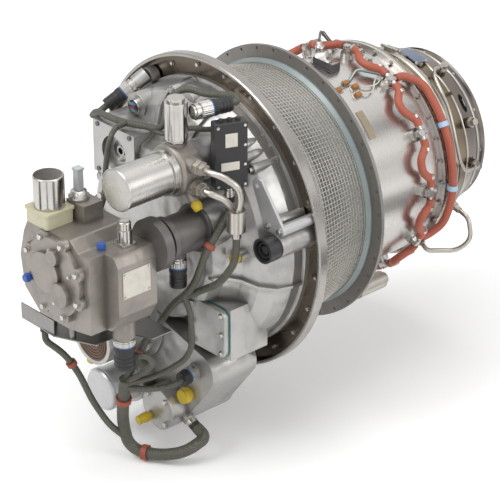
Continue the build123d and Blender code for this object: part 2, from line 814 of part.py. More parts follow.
with BuildPart() as pump_idler:
    toothed_wheel(pump_idler_place, accessory_gear_station, pump_idler_teeth, pump_idler_phase,
                  bore=stub_radius + running_gap)
finish(pump_idler.part, "pump_idler")

shaft_rear = gearbox_rear + 4.5
spline_bore = 8.0
with BuildPart() as starter_drive:
    toothed_wheel(starter_place, accessory_gear_station, starter_gear_teeth, starter_phase)
    rod(starter_place, front_bearing_front - 4, shaft_rear, shaft_radius)
    rod(starter_place, starter_pad_front, -262, spline_bore - 2.6, Mode.SUBTRACT)
    with Locations(station(front_bearing_front)):
        with Locations(starter_place):
            with PolarLocations(spline_bore - 2.6, 12):
                Box(2.4, 1.2, 20, mode=Mode.SUBTRACT)
finish(starter_drive.part, "starter_drive")

with BuildPart() as pump_drive:
    toothed_wheel(pump_place, accessory_gear_station, pump_gear_teeth, pump_phase)
    rod(pump_place, gearbox_front - 34, shaft_rear, shaft_radius)
finish(pump_drive.part, "pump_drive")

with BuildPart() as intermediate_gear:
    toothed_wheel(intermediate_place, first_stage_station, intermediate_teeth, intermediate_phase)
    toothed_wheel(intermediate_place, second_stage_station, intermediate_pinion_teeth, intermediate_pinion_phase)
    rod(intermediate_place, front_bearing_front + 0.5, shaft_rear, shaft_radius)
    rod(intermediate_place, second_stage_station, first_stage_station, shaft_radius + 6)
    discs(ring_of(intermediate_place, 50, range(0, 360, 45)), -215, -190, 12, Mode.SUBTRACT)
finish(intermediate_gear.part, "intermediate_gear")

output_bore = 9.0
output_front = output_housing_front + 3
with BuildPart() as output_shaft:
    toothed_wheel(output_place, second_stage_station, output_teeth, output_phase)
    rod(output_place, output_front, second_stage_station + face_width / 2, output_shaft_radius)
    rod(output_place, -262, second_stage_station, output_shaft_radius + 6)
    rod(output_place, output_front, output_front + 45, output_bore, Mode.SUBTRACT)
    discs(ring_of(output_place, 34, range(0, 360, 60)), -245, -220, 8, Mode.SUBTRACT)
finish(output_shaft.part, "output_shaft")

# Main gearbox casting, hollow round its gears
cavity_front = gearbox_front + front_wall
with BuildPart() as gearbox_housing:
    turned([
        (0, gearbox_front), (136, gearbox_front), (145, -284), (152, -262), (170, -243), (200, -231),
        (219, -210), (gearbox_radius, -184), (gearbox_radius, -166), (232, -164), (232, gearbox_rear),
        (0, gearbox_rear),
    ])
    # Starter pad
    pad_x, pad_z = starter_place
    slab((pad_x - 52, starter_pad_front, pad_z - 46), (104, 90, 92))
    # Output lobe, sump casting and filter seat
    rod(output_place, gearbox_front, -176, 66)
    with BuildSketch(station(-190)) as lower:
        with Locations(output_place):
            Circle(40)
        with Locations(oil_filter_place):
            Circle(42)
        with Locations(sump_place):
            Circle(38)
        with Locations((112, -214)):
            Circle(34)
        make_hull()
    extrude(lower.sketch, amount=96)
    rod(sump_place, sump_front, -184, sump_radius)
    pin(sump_port, -sump_port_direction, 40, 11)
    rod(oil_filter_place, -312, -200, oil_filter_radius + 4)
    # Pump seat
    rod(pump_place, gearbox_front - 4, -240, pump_radius + 7)
    # Side cover seat
    slab((82, -272, -172), (92, 80, 92))
    slab((84, -300, -172), (96, 28, 94), Mode.SUBTRACT)
    # Oil tank front with the sight glass boss
    rod(sight_place, sight_seat, -170, 22)
    rod(filter_place, filter_head_rear, -200, 34)
    # Top bosses
    rod((-140, 198), -176, -158, 16)
    rod((10, 214), -214, -158, 14)
    for place in lifting_bolts[:1]:
        rod(place, round_port_seat + 5, -158, 9)
    rod(round_port_place, round_port_seat, -158, 21)
    # Electronics box boss
    pin(box_back.origin, -box_facing, 36, 14)
    discs([place for place, front in casting_bosses], -170, -158, 9)
    for place, front in casting_bosses:
        rod(place, front, -168, 8)
    # Ribs over the shoulder
    with BuildPart(mode=Mode.PRIVATE) as rib:
        with BuildSketch(Plane.XY.offset(-rib_thickness / 2)) as section:
            with BuildLine():
                Polyline(
                    (134, -289), (150, -284), (158, -264), (175, -248), (204, -236), (224, -213), (231, -185),
                    (231, -160), (223, -160), (223, -182), (213, -207), (193, -226), (154, -246), (134, -262),
                    close=True,
                )
            make_face()
        extrude(section.sketch, amount=rib_thickness)
    add([rib.part.rotate(Axis.Y, -angle) for angle in rib_angles])
    # Seats of the capped ports
    for place, front in capped_bosses:
        rod(place, front, -200, 10)
    # Seats of the connectors
    for start, direction, shell_length, cap_length, radius in casting_plugs:
        pin(start, -Vector(*direction), 24, radius + 1)
    # Cavity and bores
    turned([
        (0, cavity_front), (100, cavity_front), (117, -262), (150, -240), (192, -222), (210, -205),
         (218, -182), (218, gearbox_rear), (0, gearbox_rear),
    ], Mode.SUBTRACT)
    rod(output_place, -262, -200, 57, Mode.SUBTRACT)
    for place in (starter_place, pump_place, intermediate_place):
        rod(place, cavity_front, -200, bearing_radius + 8, Mode.SUBTRACT)
    rod(intermediate_place, -244, -200, pitch_radius(intermediate_pinion_teeth) + 6, Mode.SUBTRACT)
    boss_places = ((0, 0), starter_place, pump_place, intermediate_place)
    for place in boss_places:
        tube(place, gearbox_front, front_bearing_front + 12, bearing_radius + 6, bearing_radius + running_gap)
    rod((0, 0), gearbox_front, front_bearing_front, bearing_radius + 1)
    rod(intermediate_place, gearbox_front, front_bearing_front, bearing_radius + 1)
    rod(starter_place, starter_pad_front, front_bearing_front - 4, starter_pad_bore, Mode.SUBTRACT)
    rod(starter_place, starter_pad_front, front_bearing_front + 11, bearing_radius + running_gap, Mode.SUBTRACT)
    rod(pump_place, gearbox_front - 4, front_bearing_front + 11, bearing_radius + running_gap, Mode.SUBTRACT)
    rod(output_place, gearbox_front, -262, output_bearing_radius + running_gap, Mode.SUBTRACT)
finish(gearbox_housing.part, "gearbox_housing")

# Output drive housing and its seal
recess_depth = 6.0
output_cap_centre = (output_place[0], -366, output_place[1])
output_cap_direction = (-0.41, 0, -0.91)
with BuildPart() as output_housing:
    rod(output_place, output_housing_front, gearbox_front, output_housing_radius)
    rod(output_place, gearbox_front - 8, gearbox_front, output_housing_radius + 9)
    pin(output_cap_centre, output_cap_direction, output_housing_radius + 3, 10)
    rod(output_place, output_housing_front, output_housing_front + recess_depth, output_housing_radius - 7,
        Mode.SUBTRACT)
    rod(output_place, output_housing_front, gearbox_front, output_shaft_radius + 9, Mode.SUBTRACT)
    rod(output_place, -352, gearbox_front, output_bearing_radius + running_gap, Mode.SUBTRACT)
finish(output_housing.part, "output_housing")

with BuildPart() as output_seal:
    seal_floor = output_housing_front + recess_depth
    tube(output_place, seal_floor - 5, seal_floor, output_housing_radius - 7 - seat_gap, output_shaft_radius + 0.5)
    for groove in (21, 26, 31, 36):
        tube(output_place, seal_floor - 5, seal_floor - 3.6, groove + 1.2, groove - 1.2, Mode.SUBTRACT)
finish(output_seal.part, "output_seal")

# Covers on the gearbox
oil_filter_seat = -312.0
with BuildPart() as oil_filter_cover:
    rod(oil_filter_place, oil_filter_front, oil_filter_seat, oil_filter_radius - 2)
    rod(oil_filter_place, oil_filter_front + 6, oil_filter_front + 14, oil_filter_radius)
    chamfer(oil_filter_cover.faces().sort_by(Axis.Y)[0].edges(), 2.5)
finish(oil_filter_cover.part, "oil_filter_cover")

side_cover_seat = -272.0
side_cover_place = (128.0, -126.0)
side_cover_width = 84.0
side_cover_height = 86.0
gasket_thickness = 1.5
cover_thickness = 8.0
with BuildPart() as side_cover_gasket:
    with BuildSketch(station(side_cover_seat)):
        with Locations(side_cover_place):
            RectangleRounded(side_cover_width + 2, side_cover_height + 2, 15)
    extrude(amount=gasket_thickness)
finish(side_cover_gasket.part, "side_cover_gasket")

side_cover_face = side_cover_seat - gasket_thickness - cover_thickness
with BuildPart() as side_cover:
    with BuildSketch(station(side_cover_seat - gasket_thickness)):
        with Locations(side_cover_place):
            RectangleRounded(side_cover_width, side_cover_height, 14)
    extrude(amount=cover_thickness)
    fillet(side_cover.faces().sort_by(Axis.Y)[0].edges(), 2)
finish(side_cover.part, "side_cover")

with BuildPart() as sight_glass:
    rod(sight_place, sight_seat - 6, sight_seat, 13)
    rod(sight_place, sight_seat - 6, sight_seat - 4.5, 9.5, Mode.SUBTRACT)
    chamfer(sight_glass.faces().sort_by(Axis.Y)[0].edges(), 1)
finish(sight_glass.part, "sight_glass")

# Fuel pump between the gearbox and the fuel control
pump_seat = gearbox_front - 4
pump_plug_seat = 20.0
with BuildPart() as fuel_pump:
    rod(pump_place, control_rear, pump_seat, pump_radius)
    rod(pump_place, pump_seat - 7, pump_seat, pump_radius + 7)
    rod(pump_place, control_rear, control_rear + 16, pump_radius + 10)
    rod(pump_place, control_rear + 24, control_rear + 34, pump_radius + 4)
    # Seat of the plug below the pump
    pin((120, -335, 57), (0, 0, -1), 57 - pump_plug_seat, 14)
    rod(pump_place, pump_seat - 34, pump_seat, shaft_radius + 0.4, Mode.SUBTRACT)
    rod(pump_place, pump_seat - 4, pump_seat, shaft_radius + 4, Mode.SUBTRACT)
finish(fuel_pump.part, "fuel_pump")

# Fuel control
control_top = 80.0
control_shoulder = 64.0
control_floor = -78.0
cover_front = control_front
control_body_front = control_front + 10
sensor_place = (100.0, -425.0)
plug_drop_place = (98.0, -430.0)
with BuildPart() as fuel_control_body:
    with BuildSketch(station(control_rear)) as section:
        with BuildLine():
            Polyline(
                (-62, -44), (-70, 10), (-58, 56), (-46, control_top), (58, control_top),
                (78, control_shoulder), (126, control_shoulder), (136, 48), (136, -36), (118, -66),
                (50, control_floor), (-24, control_floor), close=True,
            )
        make_face()
        fillet(section.vertices(), 7)
    extrude(section.sketch, amount=control_rear - control_body_front)
    # Shoulder that steps back on the right of the front face
    slab((104, control_body_front - 1, -100), (60, 32, 200), Mode.SUBTRACT)
    # Lower right boss that holds the plug
    with BuildSketch(Plane.XY.offset(-96)) as boss:
        with Locations(plug_drop_place):
            Circle(19)
    extrude(boss.sketch, amount=60)
    # Second block on top, behind the solenoid
    slab((-14, -448, control_top - 4), (44, 38, 34))
finish(fuel_control_body.part, "fuel_control_body")

with BuildPart() as fuel_control_cover:
    cover_x, cover_z = control_place
    with BuildSketch(station(control_body_front)) as section:
        with Locations(control_place):
            Circle(66)
            with PolarLocations(66, 8, start_angle=22.5):
                Circle(11)
    extrude(section.sketch, amount=10)
    rod((cover_x - 14, cover_z + 4), cover_front - 6, cover_front, 34)
    rod((cover_x + 26, cover_z - 20), cover_front - 10, cover_front, 20)
    rod((cover_x + 8, cover_z + 38), cover_front - 8, cover_front, 13)
finish(fuel_control_cover.part, "fuel_control_cover")

solenoid_place = (-18.0, -478.0)
solenoid_seat = 106.0
with BuildPart() as solenoid_base:
    with BuildSketch(Plane.XY.offset(control_top)):
        with Locations(solenoid_place):
            RectangleRounded(54, 54, 5)
    extrude(amount=solenoid_seat - control_top - 4)
    with BuildSketch(Plane.XY.offset(solenoid_seat - 4)):
        with Locations(solenoid_place):
            RectangleRounded(58, 58, 5)
    extrude(amount=4)
finish(solenoid_base.part, "solenoid_base")

with BuildPart() as solenoid_can:
    with BuildSketch(Plane.XY.offset(solenoid_seat)):
        with Locations(solenoid_place):
            Circle(25)
    extrude(amount=54)
    fillet(solenoid_can.faces().sort_by(Axis.Z)[-1].edges(), 2.5)
finish(solenoid_can.part, "solenoid_can")

with BuildPart() as sensor_can:
    with BuildSketch(Plane.XY.offset(control_shoulder)):
        with Locations(sensor_place):
            RectangleRounded(27, 27, 3)
    extrude(amount=5)
    with BuildSketch(Plane.XY.offset(control_shoulder + 5)):
        with Locations(sensor_place):
            Circle(10.5)
    extrude(amount=36)
    with BuildSketch(Plane.XY.offset(control_shoulder + 5)):
        with Locations(sensor_place):
            Circle(12)
    extrude(amount=22)
    fillet(sensor_can.faces().sort_by(Axis.Z)[-1].edges(), 3)
finish(sensor_can.part, "sensor_can")

# Oil filter on top: head, bowl and pressure switch
switch_seat = 201.0
filter_port_direction = Vector(0.68, 0, -0.73).normalized()
filter_port_reach = 60.0
with BuildPart() as filter_head:
    rod(filter_place, filter_head_front, filter_head_rear, 43)
    fillet(filter_head.faces().sort_by(Axis.Y)[0].edges(), 6)
    with BuildSketch(Plane.XY.offset(filter_z)) as neck:
        with Locations((filter_x, filter_head_middle)):
            Circle(16)
    extrude(neck.sketch, amount=switch_seat - filter_z)
    for rise in (18, -18):
        pin((filter_x + 20, filter_head_middle, filter_z + rise), (1, 0, 0), 28, 13)
    pin((filter_x, filter_head_middle, filter_z), filter_port_direction, filter_port_reach, 10)
finish(filter_head.part, "filter_head")

with BuildPart() as filter_bowl:
    rod(filter_place, filter_bowl_front, filter_head_front, filter_bowl_radius)
    rod(filter_place, filter_head_front - 12, filter_head_front, filter_bowl_radius + 3)
    rod(filter_place, filter_bowl_front - 4, filter_bowl_front, filter_bowl_radius + 1)
    fillet(filter_bowl.faces().sort_by(Axis.Y)[0].edges(), 3)
finish(filter_bowl.part, "filter_bowl")

with BuildPart() as pressure_switch:
    with BuildSketch(Plane.XY.offset(switch_seat)):
        with Locations((filter_x, filter_head_middle)):
            RegularPolygon(15, 6)
    extrude(amount=6)
    with BuildSketch(Plane.XY.offset(switch_seat + 6)):
        with Locations((filter_x, filter_head_middle)):
            Circle(18.5)
    extrude(amount=62)
    with BuildSketch(Plane.XY.offset(switch_seat + 68)):
        with Locations((filter_x, filter_head_middle)):
            Circle(14)
    extrude(amount=6)
finish(pressure_switch.part, "pressure_switch")

# Steel fuel tubes from the filter head to the shared sleeve
tube_start = filter_x + 48
tube_radius = 5.5
sleeve_place = (193.0, -277.0)
sleeve_top = 108.0
with BuildPart() as fuel_tubes:
    for rise in (18, -18):
        port_z = filter_z + rise
        hexagon((tube_start, filter_head_middle, port_z), (1, 0, 0), 10, 22)
        hexagon((tube_start + 10, filter_head_middle, port_z), (1, 0, 0), 9, 17)
    hose([
        (tube_start + 19, filter_head_middle, filter_z + 18), (tube_start + 32, filter_head_middle, filter_z + 18),
        (190, -302, 171), (208, -287, 156), (206, -279, 134), (199, -277, sleeve_top),
    ], tube_radius)
    hose([
        (tube_start + 19, filter_head_middle, filter_z - 18), (tube_start + 30, -308, filter_z - 19), (182, -290, 126),
        (186, -279, sleeve_top),
    ], tube_radius)
    with BuildSketch(Plane.XY.offset(sleeve_top - 36)) as sleeve:
        with Locations(sleeve_place):
            Circle(15)
    extrude(sleeve.sketch, amount=36)
    with BuildSketch(Plane.XY.offset(sleeve_top - 48)) as sleeve:
        with Locations(sleeve_place):
            Circle(8)
    extrude(sleeve.sketch, amount=12)
finish(fuel_tubes.part, "fuel_tubes")

# Lifting plate and the round access port on the right shoulder
with BuildPart() as lifting_plate:
    with BuildSketch(station(round_port_seat + 5)) as section:
        with Locations(*lifting_bolts):
            Circle(9)
        with Locations(lifting_eye):
            Circle(12)
        make_hull()
        with Locations(lifting_eye):
            Circle(5, mode=Mode.SUBTRACT)
    extrude(section.sketch, amount=5)
    # Leg that stands on the fire-seal ring, outside the casting
    rod(lifting_bolts[1], round_port_seat, seal_web_front, 9)
finish(lifting_plate.part, "lifting_plate")

with BuildPart() as round_port:
    rod(round_port_place, round_port_seat - 6, round_port_seat, 19)
    tube(round_port_place, round_port_seat - 26, round_port_seat - 6, 21, 17)
    rod(round_port_place, round_port_seat - 10, round_port_seat - 6, 21)
    rod(round_port_place, round_port_seat - 20, round_port_seat - 10, 7)
    tube(round_port_place, round_port_seat - 22, round_port_seat - 10, 13, 11)
finish(round_port.part, "round_port")

# Electronics box on the upper right, on its boss
with BuildPart() as electronics_box:
    with BuildSketch(box_back):
        RectangleRounded(box_width, box_height, 3)
    extrude(amount=box_depth)
    fillet(electronics_box.faces().sort_by(SortBy.AREA)[-1].edges(), 2)
finish(electronics_box.part, "electronics_box")

# Sheet bracket under the fuel control
tray_top = control_floor - 30
tray_sheet = 2.0
with BuildPart() as harness_tray:
    with BuildSketch(Plane.XY.offset(tray_top - tray_sheet)) as plate:
        with BuildLine():
            Polyline(
                (-78, -496), (6, -500), (74, -470), (74, -408), (120, -390), (120, -350), (40, -350),
                (-60, -420), close=True,
            )
        make_face()
    extrude(plate.sketch, amount=tray_sheet)
    slab((-78, -498, tray_top - tray_sheet), (84, 2, 28))
    for x, y in ((-30, -470), (30, -480), (20, -410)):
        with BuildSketch(Plane.XY.offset(tray_top)) as post:
            with Locations((x, y)):
                Circle(6)
        extrude(post.sketch, amount=control_floor - tray_top)
finish(harness_tray.part, "harness_tray")

# Connectors: each a metal shell on its seat and a black backshell behind it
box_floor = box_centre.Z - box_height / 2
plugs = casting_plugs + (
    ((filter_place[0] + 21, -296, 252), (0.2, 1, 0), 34, 34, 13),
    ((plug_drop_place[0], plug_drop_place[1], -96), (0, 0, -1), 16, 40, 17),
    ((120, -335, pump_plug_seat), (0, 0, -1), 18, 34, 14),
    ((158, -259.5, box_floor), (0, 0, -1), 16, 8, 9),
    ((-42, -480, tray_top - tray_sheet), (0, 0, -1), 10, 6, 8),
    (sump_port, sump_port_direction, 12, 8, 10),
)
with BuildPart() as plug_shells:
    for start, direction, shell_length, cap_length, radius in plugs:
        aim = Vector(*direction).normalized()
        pin(start, direction, shell_length, radius - 2)
        pin(Vector(*start) + aim * 4, direction, 5, radius)
        pin(Vector(*start) + aim * (shell_length - 8), direction, 6, radius)
finish(plug_shells.part, "plug_shells")

with BuildPart() as plug_backshells:
    for start, direction, shell_length, cap_length, radius in plugs:
        aim = Vector(*direction).normalized()
        pin(Vector(*start) + aim * shell_length, direction, cap_length, radius - 0.5)
    # Side outlet of the large plug below the control
    pin((plug_drop_place[0], plug_drop_place[1], -135), (0.6, 0.8, 0), 21, 6.5)
finish(plug_backshells.part, "plug_backshells")

# Fuel nozzles through the case bosses
nozzle_foot = case_radius + nozzle_boss_height
nozzle_axis = (1, 0, 0)
with BuildPart() as fuel_nozzles:
    with BuildPart(mode=Mode.PRIVATE) as nozzle:
        pin((150, nozzle_station, 0), nozzle_axis, nozzle_foot - 150, nozzle_hole - 0.3)
        pin((nozzle_foot, nozzle_station, 0), nozzle_axis, 3, 11)
        hexagon((nozzle_foot + 3, nozzle_station, 0), nozzle_axis, 8, 15)
        pin((nozzle_foot + 11, nozzle_station, 0), nozzle_axis, 4, 6)
        pin((nozzle_foot + 7, nozzle_station + 7, 0), (0, 1, 0), 9, 4.5)
        # Side arms that the hoses push on to
        for side in (-1, 1):
            near = Vector(*on_case(hose_line, side * hose_start, nozzle_station + 3))
            far = Vector(*on_case(hose_line, side * hose_first_bend, nozzle_station + 3))
            pin(near, near - far, 9, 4.5)
    add([nozzle.part.rotate(Axis.Y, 360 * number / nozzle_count) for number in range(nozzle_count)])
finish(fuel_nozzles.part, "fuel_nozzles")

# Sleeved hoses from nozzle to nozzle, and the long one behind them
hose_loop_station = 138.0
long_hose = [
    on_case(nozzle_foot + 7, 60, nozzle_station + 16), on_case(nozzle_foot + 7, 60, 186), on_case(204, 52, 209),
    on_case(204, 38, 209), on_case(204, 22, 209), on_case(204, 6, 209), on_case(204, -10, 209),
    on_case(204, -23, 205), on_case(nozzle_foot + 7, -30, 184), on_case(nozzle_foot + 7, -30, nozzle_station + 16),
]
with BuildPart() as fuel_hoses:
    for number in range(nozzle_count):
        angle = 360 * number / nozzle_count
        hose([
            on_case(hose_line, angle + hose_start, nozzle_station + 3),
            on_case(hose_line, angle + hose_first_bend, nozzle_station + 3),
            on_case(hose_line, angle + 12, hose_loop_station),
            on_case(hose_line, angle + 18, hose_loop_station),
            on_case(hose_line, angle + 30 - hose_first_bend, nozzle_station + 3),
            on_case(hose_line, angle + 30 - hose_start, nozzle_station + 3),
        ], hose_radius)
    hose(long_hose, hose_radius)
finish(fuel_hoses.part, "fuel_hoses")

# Drain tube from the case to the turbine case
drain_outward = on_case(1, drain_angle, 0)
sense_start = exhaust_bosses[1]
sense_end = exhaust_bosses[2]
sense_radius = exhaust_boss_seat + 9
sense_arm = 12
sense_route = [
    on_case(sense_radius, sense_start[0], sense_start[1] - sense_arm), on_case(sense_radius, sense_start[0], 284),
    on_case(177, 57, 267), on_case(178, 47, 259), on_case(178, 37, 256), on_case(178, 27, 251),
    on_case(178, 16, 249), on_case(178, 6, 253), on_case(177, -1, 267),
    on_case(sense_radius, sense_end[0], 284), on_case(sense_radius, sense_end[0], sense_end[1] - sense_arm),
]
with BuildPart() as drain_tube:
    pin(on_case(case_radius, -37, 184), on_case(1, -37, 0), 16, 7)
    hose([
        on_case(201, -37, 184), on_case(216, -37, 184), (210, 220, -128), (226, 236, -106), (216, 238, -70.2),
        on_case(drain_seat + 23, drain_angle, drain_station),
    ], drain_radius)
    hexagon(on_case(drain_seat, drain_angle, drain_station), drain_outward, 12, 14)
    hexagon(on_case(drain_seat + 12, drain_angle, drain_station), drain_outward, 11, 11)
    # Sensing tube over the strap, from one boss of the exhaust duct to another
    for angle, y in exhaust_bosses:
        pin(on_case(exhaust_boss_seat, angle, y), on_case(1, angle, 0), 3, 9)
        hexagon(on_case(exhaust_boss_seat + 3, angle, y), on_case(1, angle, 0), 9, 12)
    for angle, y in (sense_start, sense_end):
        pin(on_case(sense_radius, angle, y), (0, -1, 0), sense_arm, 4)
    hose(sense_route, 3)
finish(drain_tube.part, "drain_tube")

# Bleed valve on the drum, low down on the right
with BuildPart() as bleed_valve:
    pin(on_case(case_radius, -44, 55), on_case(1, -44, 0), 26, 10)
    rod((160, -155), 25, 85, 15)
    rod((160, -155), 18, 25, 10)
    rod((160, -155), 85, 93, 10)
finish(bleed_valve.part, "bleed_valve")

# Braided harness: each run has its points and its radius
def plug_end(number, further=0.0):
    """The point where the cord leaves a connector, or further along the connector's axis."""
    start, direction, shell_length, cap_length, radius = plugs[number]
    point = Vector(*start) + Vector(*direction).normalized() * (shell_length + cap_length + further)
    return (point.X, point.Y, point.Z)


box_entry = box_back.origin - box_along * 5 + Vector(0, 0, 31)
trunk = [
    (58, -398, -205), (31, -385, -299), (36, -375, -358), (88, -350, -357), (122, -325, -345),
    plug_end(7, 24), plug_end(7),
]
main_run = [
    plug_end(5), plug_end(5, 17), (166, -280, 74), (168, -300, 58),
    (165.5, -318, 33), (146, -326, -30), (107, -338, -71), (73, -338, -121), (61, -352, -145),
    (60, -385, -190), (55, -398, -215),
]
top_run = [
    plug_end(0), plug_end(0, 18), (-160, -276, 152), (-135, -286, 172), (-99, -290, 174),
    (-60, -285, 174), (-30, -270, 174), (0, -266, 178), (11, -258, 195), (18, -252, 220), (8, -238, 238),
    (22, -222, 242), (52, -215, 240), (75, -209, 245), (108, -203, 252), plug_end(2, 14), plug_end(2),
]
left_run = [
    plug_end(6), plug_end(6, 18), (-17, -462, -165), (-9, -440, -206), (0, -420, -265), (19, -402, -308),
    (35, -383, -331),
]
sleeve_run = [(193, -277, 60), (193, -277, 38), (195, -284, 16), (180, -300, -18), (141, -320, -43), (115, -335.5, -62)]
harness_runs = (
    (trunk, 10.0), (main_run, 6.0), (top_run, 5.5), (left_run, 5.5), (sleeve_run, 6.0),
    ([(128, -332.4, -45), (138, -326, -75), (141, -325, -135), (130, -330, -165), (100, -360, -195), (58, -398, -215)], 5.0),
    ([plug_end(1), plug_end(1, 20), (90, -370, -222), (57, -398, -222)], 5.0),
    ([(110.6, -413.2, -135), (119, -402, -135), (122, -390, -152), (90, -385, -185), (57, -397, -212)], 5.0),
    ([(-60, -285, 174), (-57, -310, 176), (-47, -331, 166), (-47, -337, 142), (-41, -347, 112), (-33, -355, 84),
      (-31, -364, 62), (-35, -376, 50), (-35, control_rear, 50)], 4.5),
    ([(-30, -270, 174), (12, -268, 172), (45, -263, 190), (76, -262, 204), (100, -260, 208), box_entry - box_facing * 20,
      box_entry], 4.5),
)
with BuildPart() as wiring_harness:
    for points, radius in harness_runs:
        hose(points, radius)
finish(wiring_harness.part, "wiring_harness")


def band(first, second, cord, width, wall):
    """A loose band round a cord, half-way between two points of its route."""
    first = Vector(*first)
    second = Vector(*second)
    aim = (second - first).normalized()
    with BuildSketch(Plane(origin=(first + second) / 2 - aim * (width / 2), z_dir=aim)) as section:
        Circle(cord + band_slack + wall)
        Circle(cord + band_slack, mode=Mode.SUBTRACT)
    extrude(section.sketch, amount=width)


band_slack = 0.7
with BuildPart() as harness_clamps:
    band(trunk[0], trunk[1], 10, 10, 2.5)
    band(trunk[2], trunk[3], 10, 10, 2.5)
    band(main_run[3], main_run[4], 6, 8, 2.5)
    band(main_run[8], main_run[9], 6, 8, 2.5)
    band(left_run[2], left_run[3], 5.5, 8, 2.5)
    band(long_hose[3], long_hose[4], hose_radius, 9, 1.2)
    band(long_hose[5], long_hose[6], hose_radius, 9, 1.2)
finish(harness_clamps.part, "harness_clamps")

# Screw-on caps of the spare ports
cap_direction = (0, -1, 0)
cap_start = Vector(*output_cap_centre) + Vector(*output_cap_direction).normalized() * (output_housing_radius + 3)
caps = [
    (Vector(filter_x, filter_head_middle, filter_z) + filter_port_direction * filter_port_reach,
     filter_port_direction, 16, 8),
    ((-33, cover_front, -13), cap_direction, 12, 7), ((88, -462, control_shoulder), (0, 0, 1), 10, 7),
    ((85, -286, -266), cap_direction, 16, 13), ((22, sump_front, -322), cap_direction, 26, 8),
    (cap_start, output_cap_direction, 18, 8),
]
for place, front in capped_bosses:
    caps.append(((place[0], front, place[1]), cap_direction, 14, 8))
with BuildPart() as protective_caps:
    for start, direction, length, radius in caps:
        aim = Vector(*direction).normalized()
        pin(start, direction, length, radius - 1)
        pin(Vector(*start) + aim * 3, direction, length - 5, radius)
finish(protective_caps.part, "protective_caps")

# Bolt heads of the castings
with BuildPart() as casting_bolts:
    side_x, side_z = side_cover_place
    bolt_heads(
        [(side_x + x, side_z + z) for x, z in ((-33, -34), (33, -34), (-33, 34), (33, 34), (-34, 0), (34, 0))],
        side_cover_face,
    )
    bolt_heads(ring_of((0, 0), 126, (-15, 60, 78, 168, 182, 196, 210, 224)), gearbox_front)
    bolt_heads(ring_of(output_place, 51.6, range(15, 375, 45)), gearbox_front - 8, 6, 4)
    bolt_heads(ring_of(sump_place, 30, (-45, 45, 135)), sump_front)
    bolt_heads(ring_of(control_place, 66, (22.5, 67.5, 112.5, 157.5, 247.5, 292.5, 337.5)), cover_front)
    bolt_heads(lifting_bolts, round_port_seat)
    for place, front in casting_bosses:
        bolt_heads([place], front, 8, 6)
    # Two of the ring's places are taken by bosses of the casting
    seal_angles = [7.5 + 15 * number for number in range(24) if number not in (0, 8)]
    bolt_heads(ring_of((0, 0), 250, seal_angles), seal_web_front, 6, 4)
finish(casting_bolts.part, "casting_bolts")

# The bend radii of the cords, for a check by eye
for name, points in (("trunk", trunk), ("main run", main_run), ("top run", top_run), ("long hose", long_hose)):
    print(name, [round(radius, 1) for radius in bend_radii(points)])
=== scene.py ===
"""Turboshaft engine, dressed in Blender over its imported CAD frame."""

import bpy
import bmesh
from math import cos, pi, radians, sin
from mathutils import Matrix, Vector


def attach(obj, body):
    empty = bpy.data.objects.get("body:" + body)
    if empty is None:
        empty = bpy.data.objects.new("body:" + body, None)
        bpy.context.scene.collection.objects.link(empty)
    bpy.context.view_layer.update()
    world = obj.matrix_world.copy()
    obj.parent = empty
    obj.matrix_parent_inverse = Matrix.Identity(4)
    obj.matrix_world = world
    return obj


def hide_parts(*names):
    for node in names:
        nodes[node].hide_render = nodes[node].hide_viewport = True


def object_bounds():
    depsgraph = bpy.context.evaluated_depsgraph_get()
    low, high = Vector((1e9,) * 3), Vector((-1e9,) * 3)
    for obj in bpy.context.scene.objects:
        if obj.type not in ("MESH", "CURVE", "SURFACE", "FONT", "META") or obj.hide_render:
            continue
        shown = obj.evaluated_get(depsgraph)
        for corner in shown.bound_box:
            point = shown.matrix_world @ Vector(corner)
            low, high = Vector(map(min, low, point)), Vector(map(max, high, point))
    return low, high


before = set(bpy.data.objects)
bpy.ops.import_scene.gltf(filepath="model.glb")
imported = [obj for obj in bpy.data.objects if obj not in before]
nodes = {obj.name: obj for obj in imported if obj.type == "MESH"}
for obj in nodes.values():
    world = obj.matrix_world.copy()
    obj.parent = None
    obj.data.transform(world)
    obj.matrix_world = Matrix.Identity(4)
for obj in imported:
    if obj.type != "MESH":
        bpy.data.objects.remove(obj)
cad_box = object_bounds()
scene = bpy.context.scene
MM = 0.001
ALONG_SHAFT = Vector((0, 1, 0))
UPWARD = Vector((0, 0, 1))
FORWARD = (0, -1, 0)
DRUM = 185  # radius of the drum's skin, in millimetres


# Camera, solved from the photograph: azimuth 47.5, elevation 27.1 degrees
AZIMUTH, ELEVATION = radians(47.5), radians(27.1)
camera_data = bpy.data.cameras.new("camera")
camera_data.lens = 167.7
camera_data.sensor_width = 36.0
camera_data.clip_start = 0.1
camera_data.clip_end = 100.0
camera = bpy.data.objects.new("camera", camera_data)
scene.collection.objects.link(camera)
camera.location = (2.5954, -2.4494, 1.6956)
view_back = Vector((sin(AZIMUTH) * cos(ELEVATION), -cos(AZIMUTH) * cos(ELEVATION), sin(ELEVATION)))
camera.rotation_mode = "QUATERNION"
camera.rotation_quaternion = (-view_back).to_track_quat("-Z", "Y")
scene.camera = camera
scene.view_settings.view_transform = "Standard"


# Small helpers for node trees
def fill(tree, socket, value):
    """Link an input from another socket, or give it a plain value."""
    if isinstance(value, bpy.types.NodeSocket):
        tree.links.new(value, socket)
    else:
        socket.default_value = value


def put(tree, kind, values=None, **settings):
    """A new node with its settings, and its input values by name or index."""
    node = tree.nodes.new(kind)
    for key, value in settings.items():
        setattr(node, key, value)
    for key, value in (values or {}).items():
        fill(tree, node.inputs[key], value)
    return node


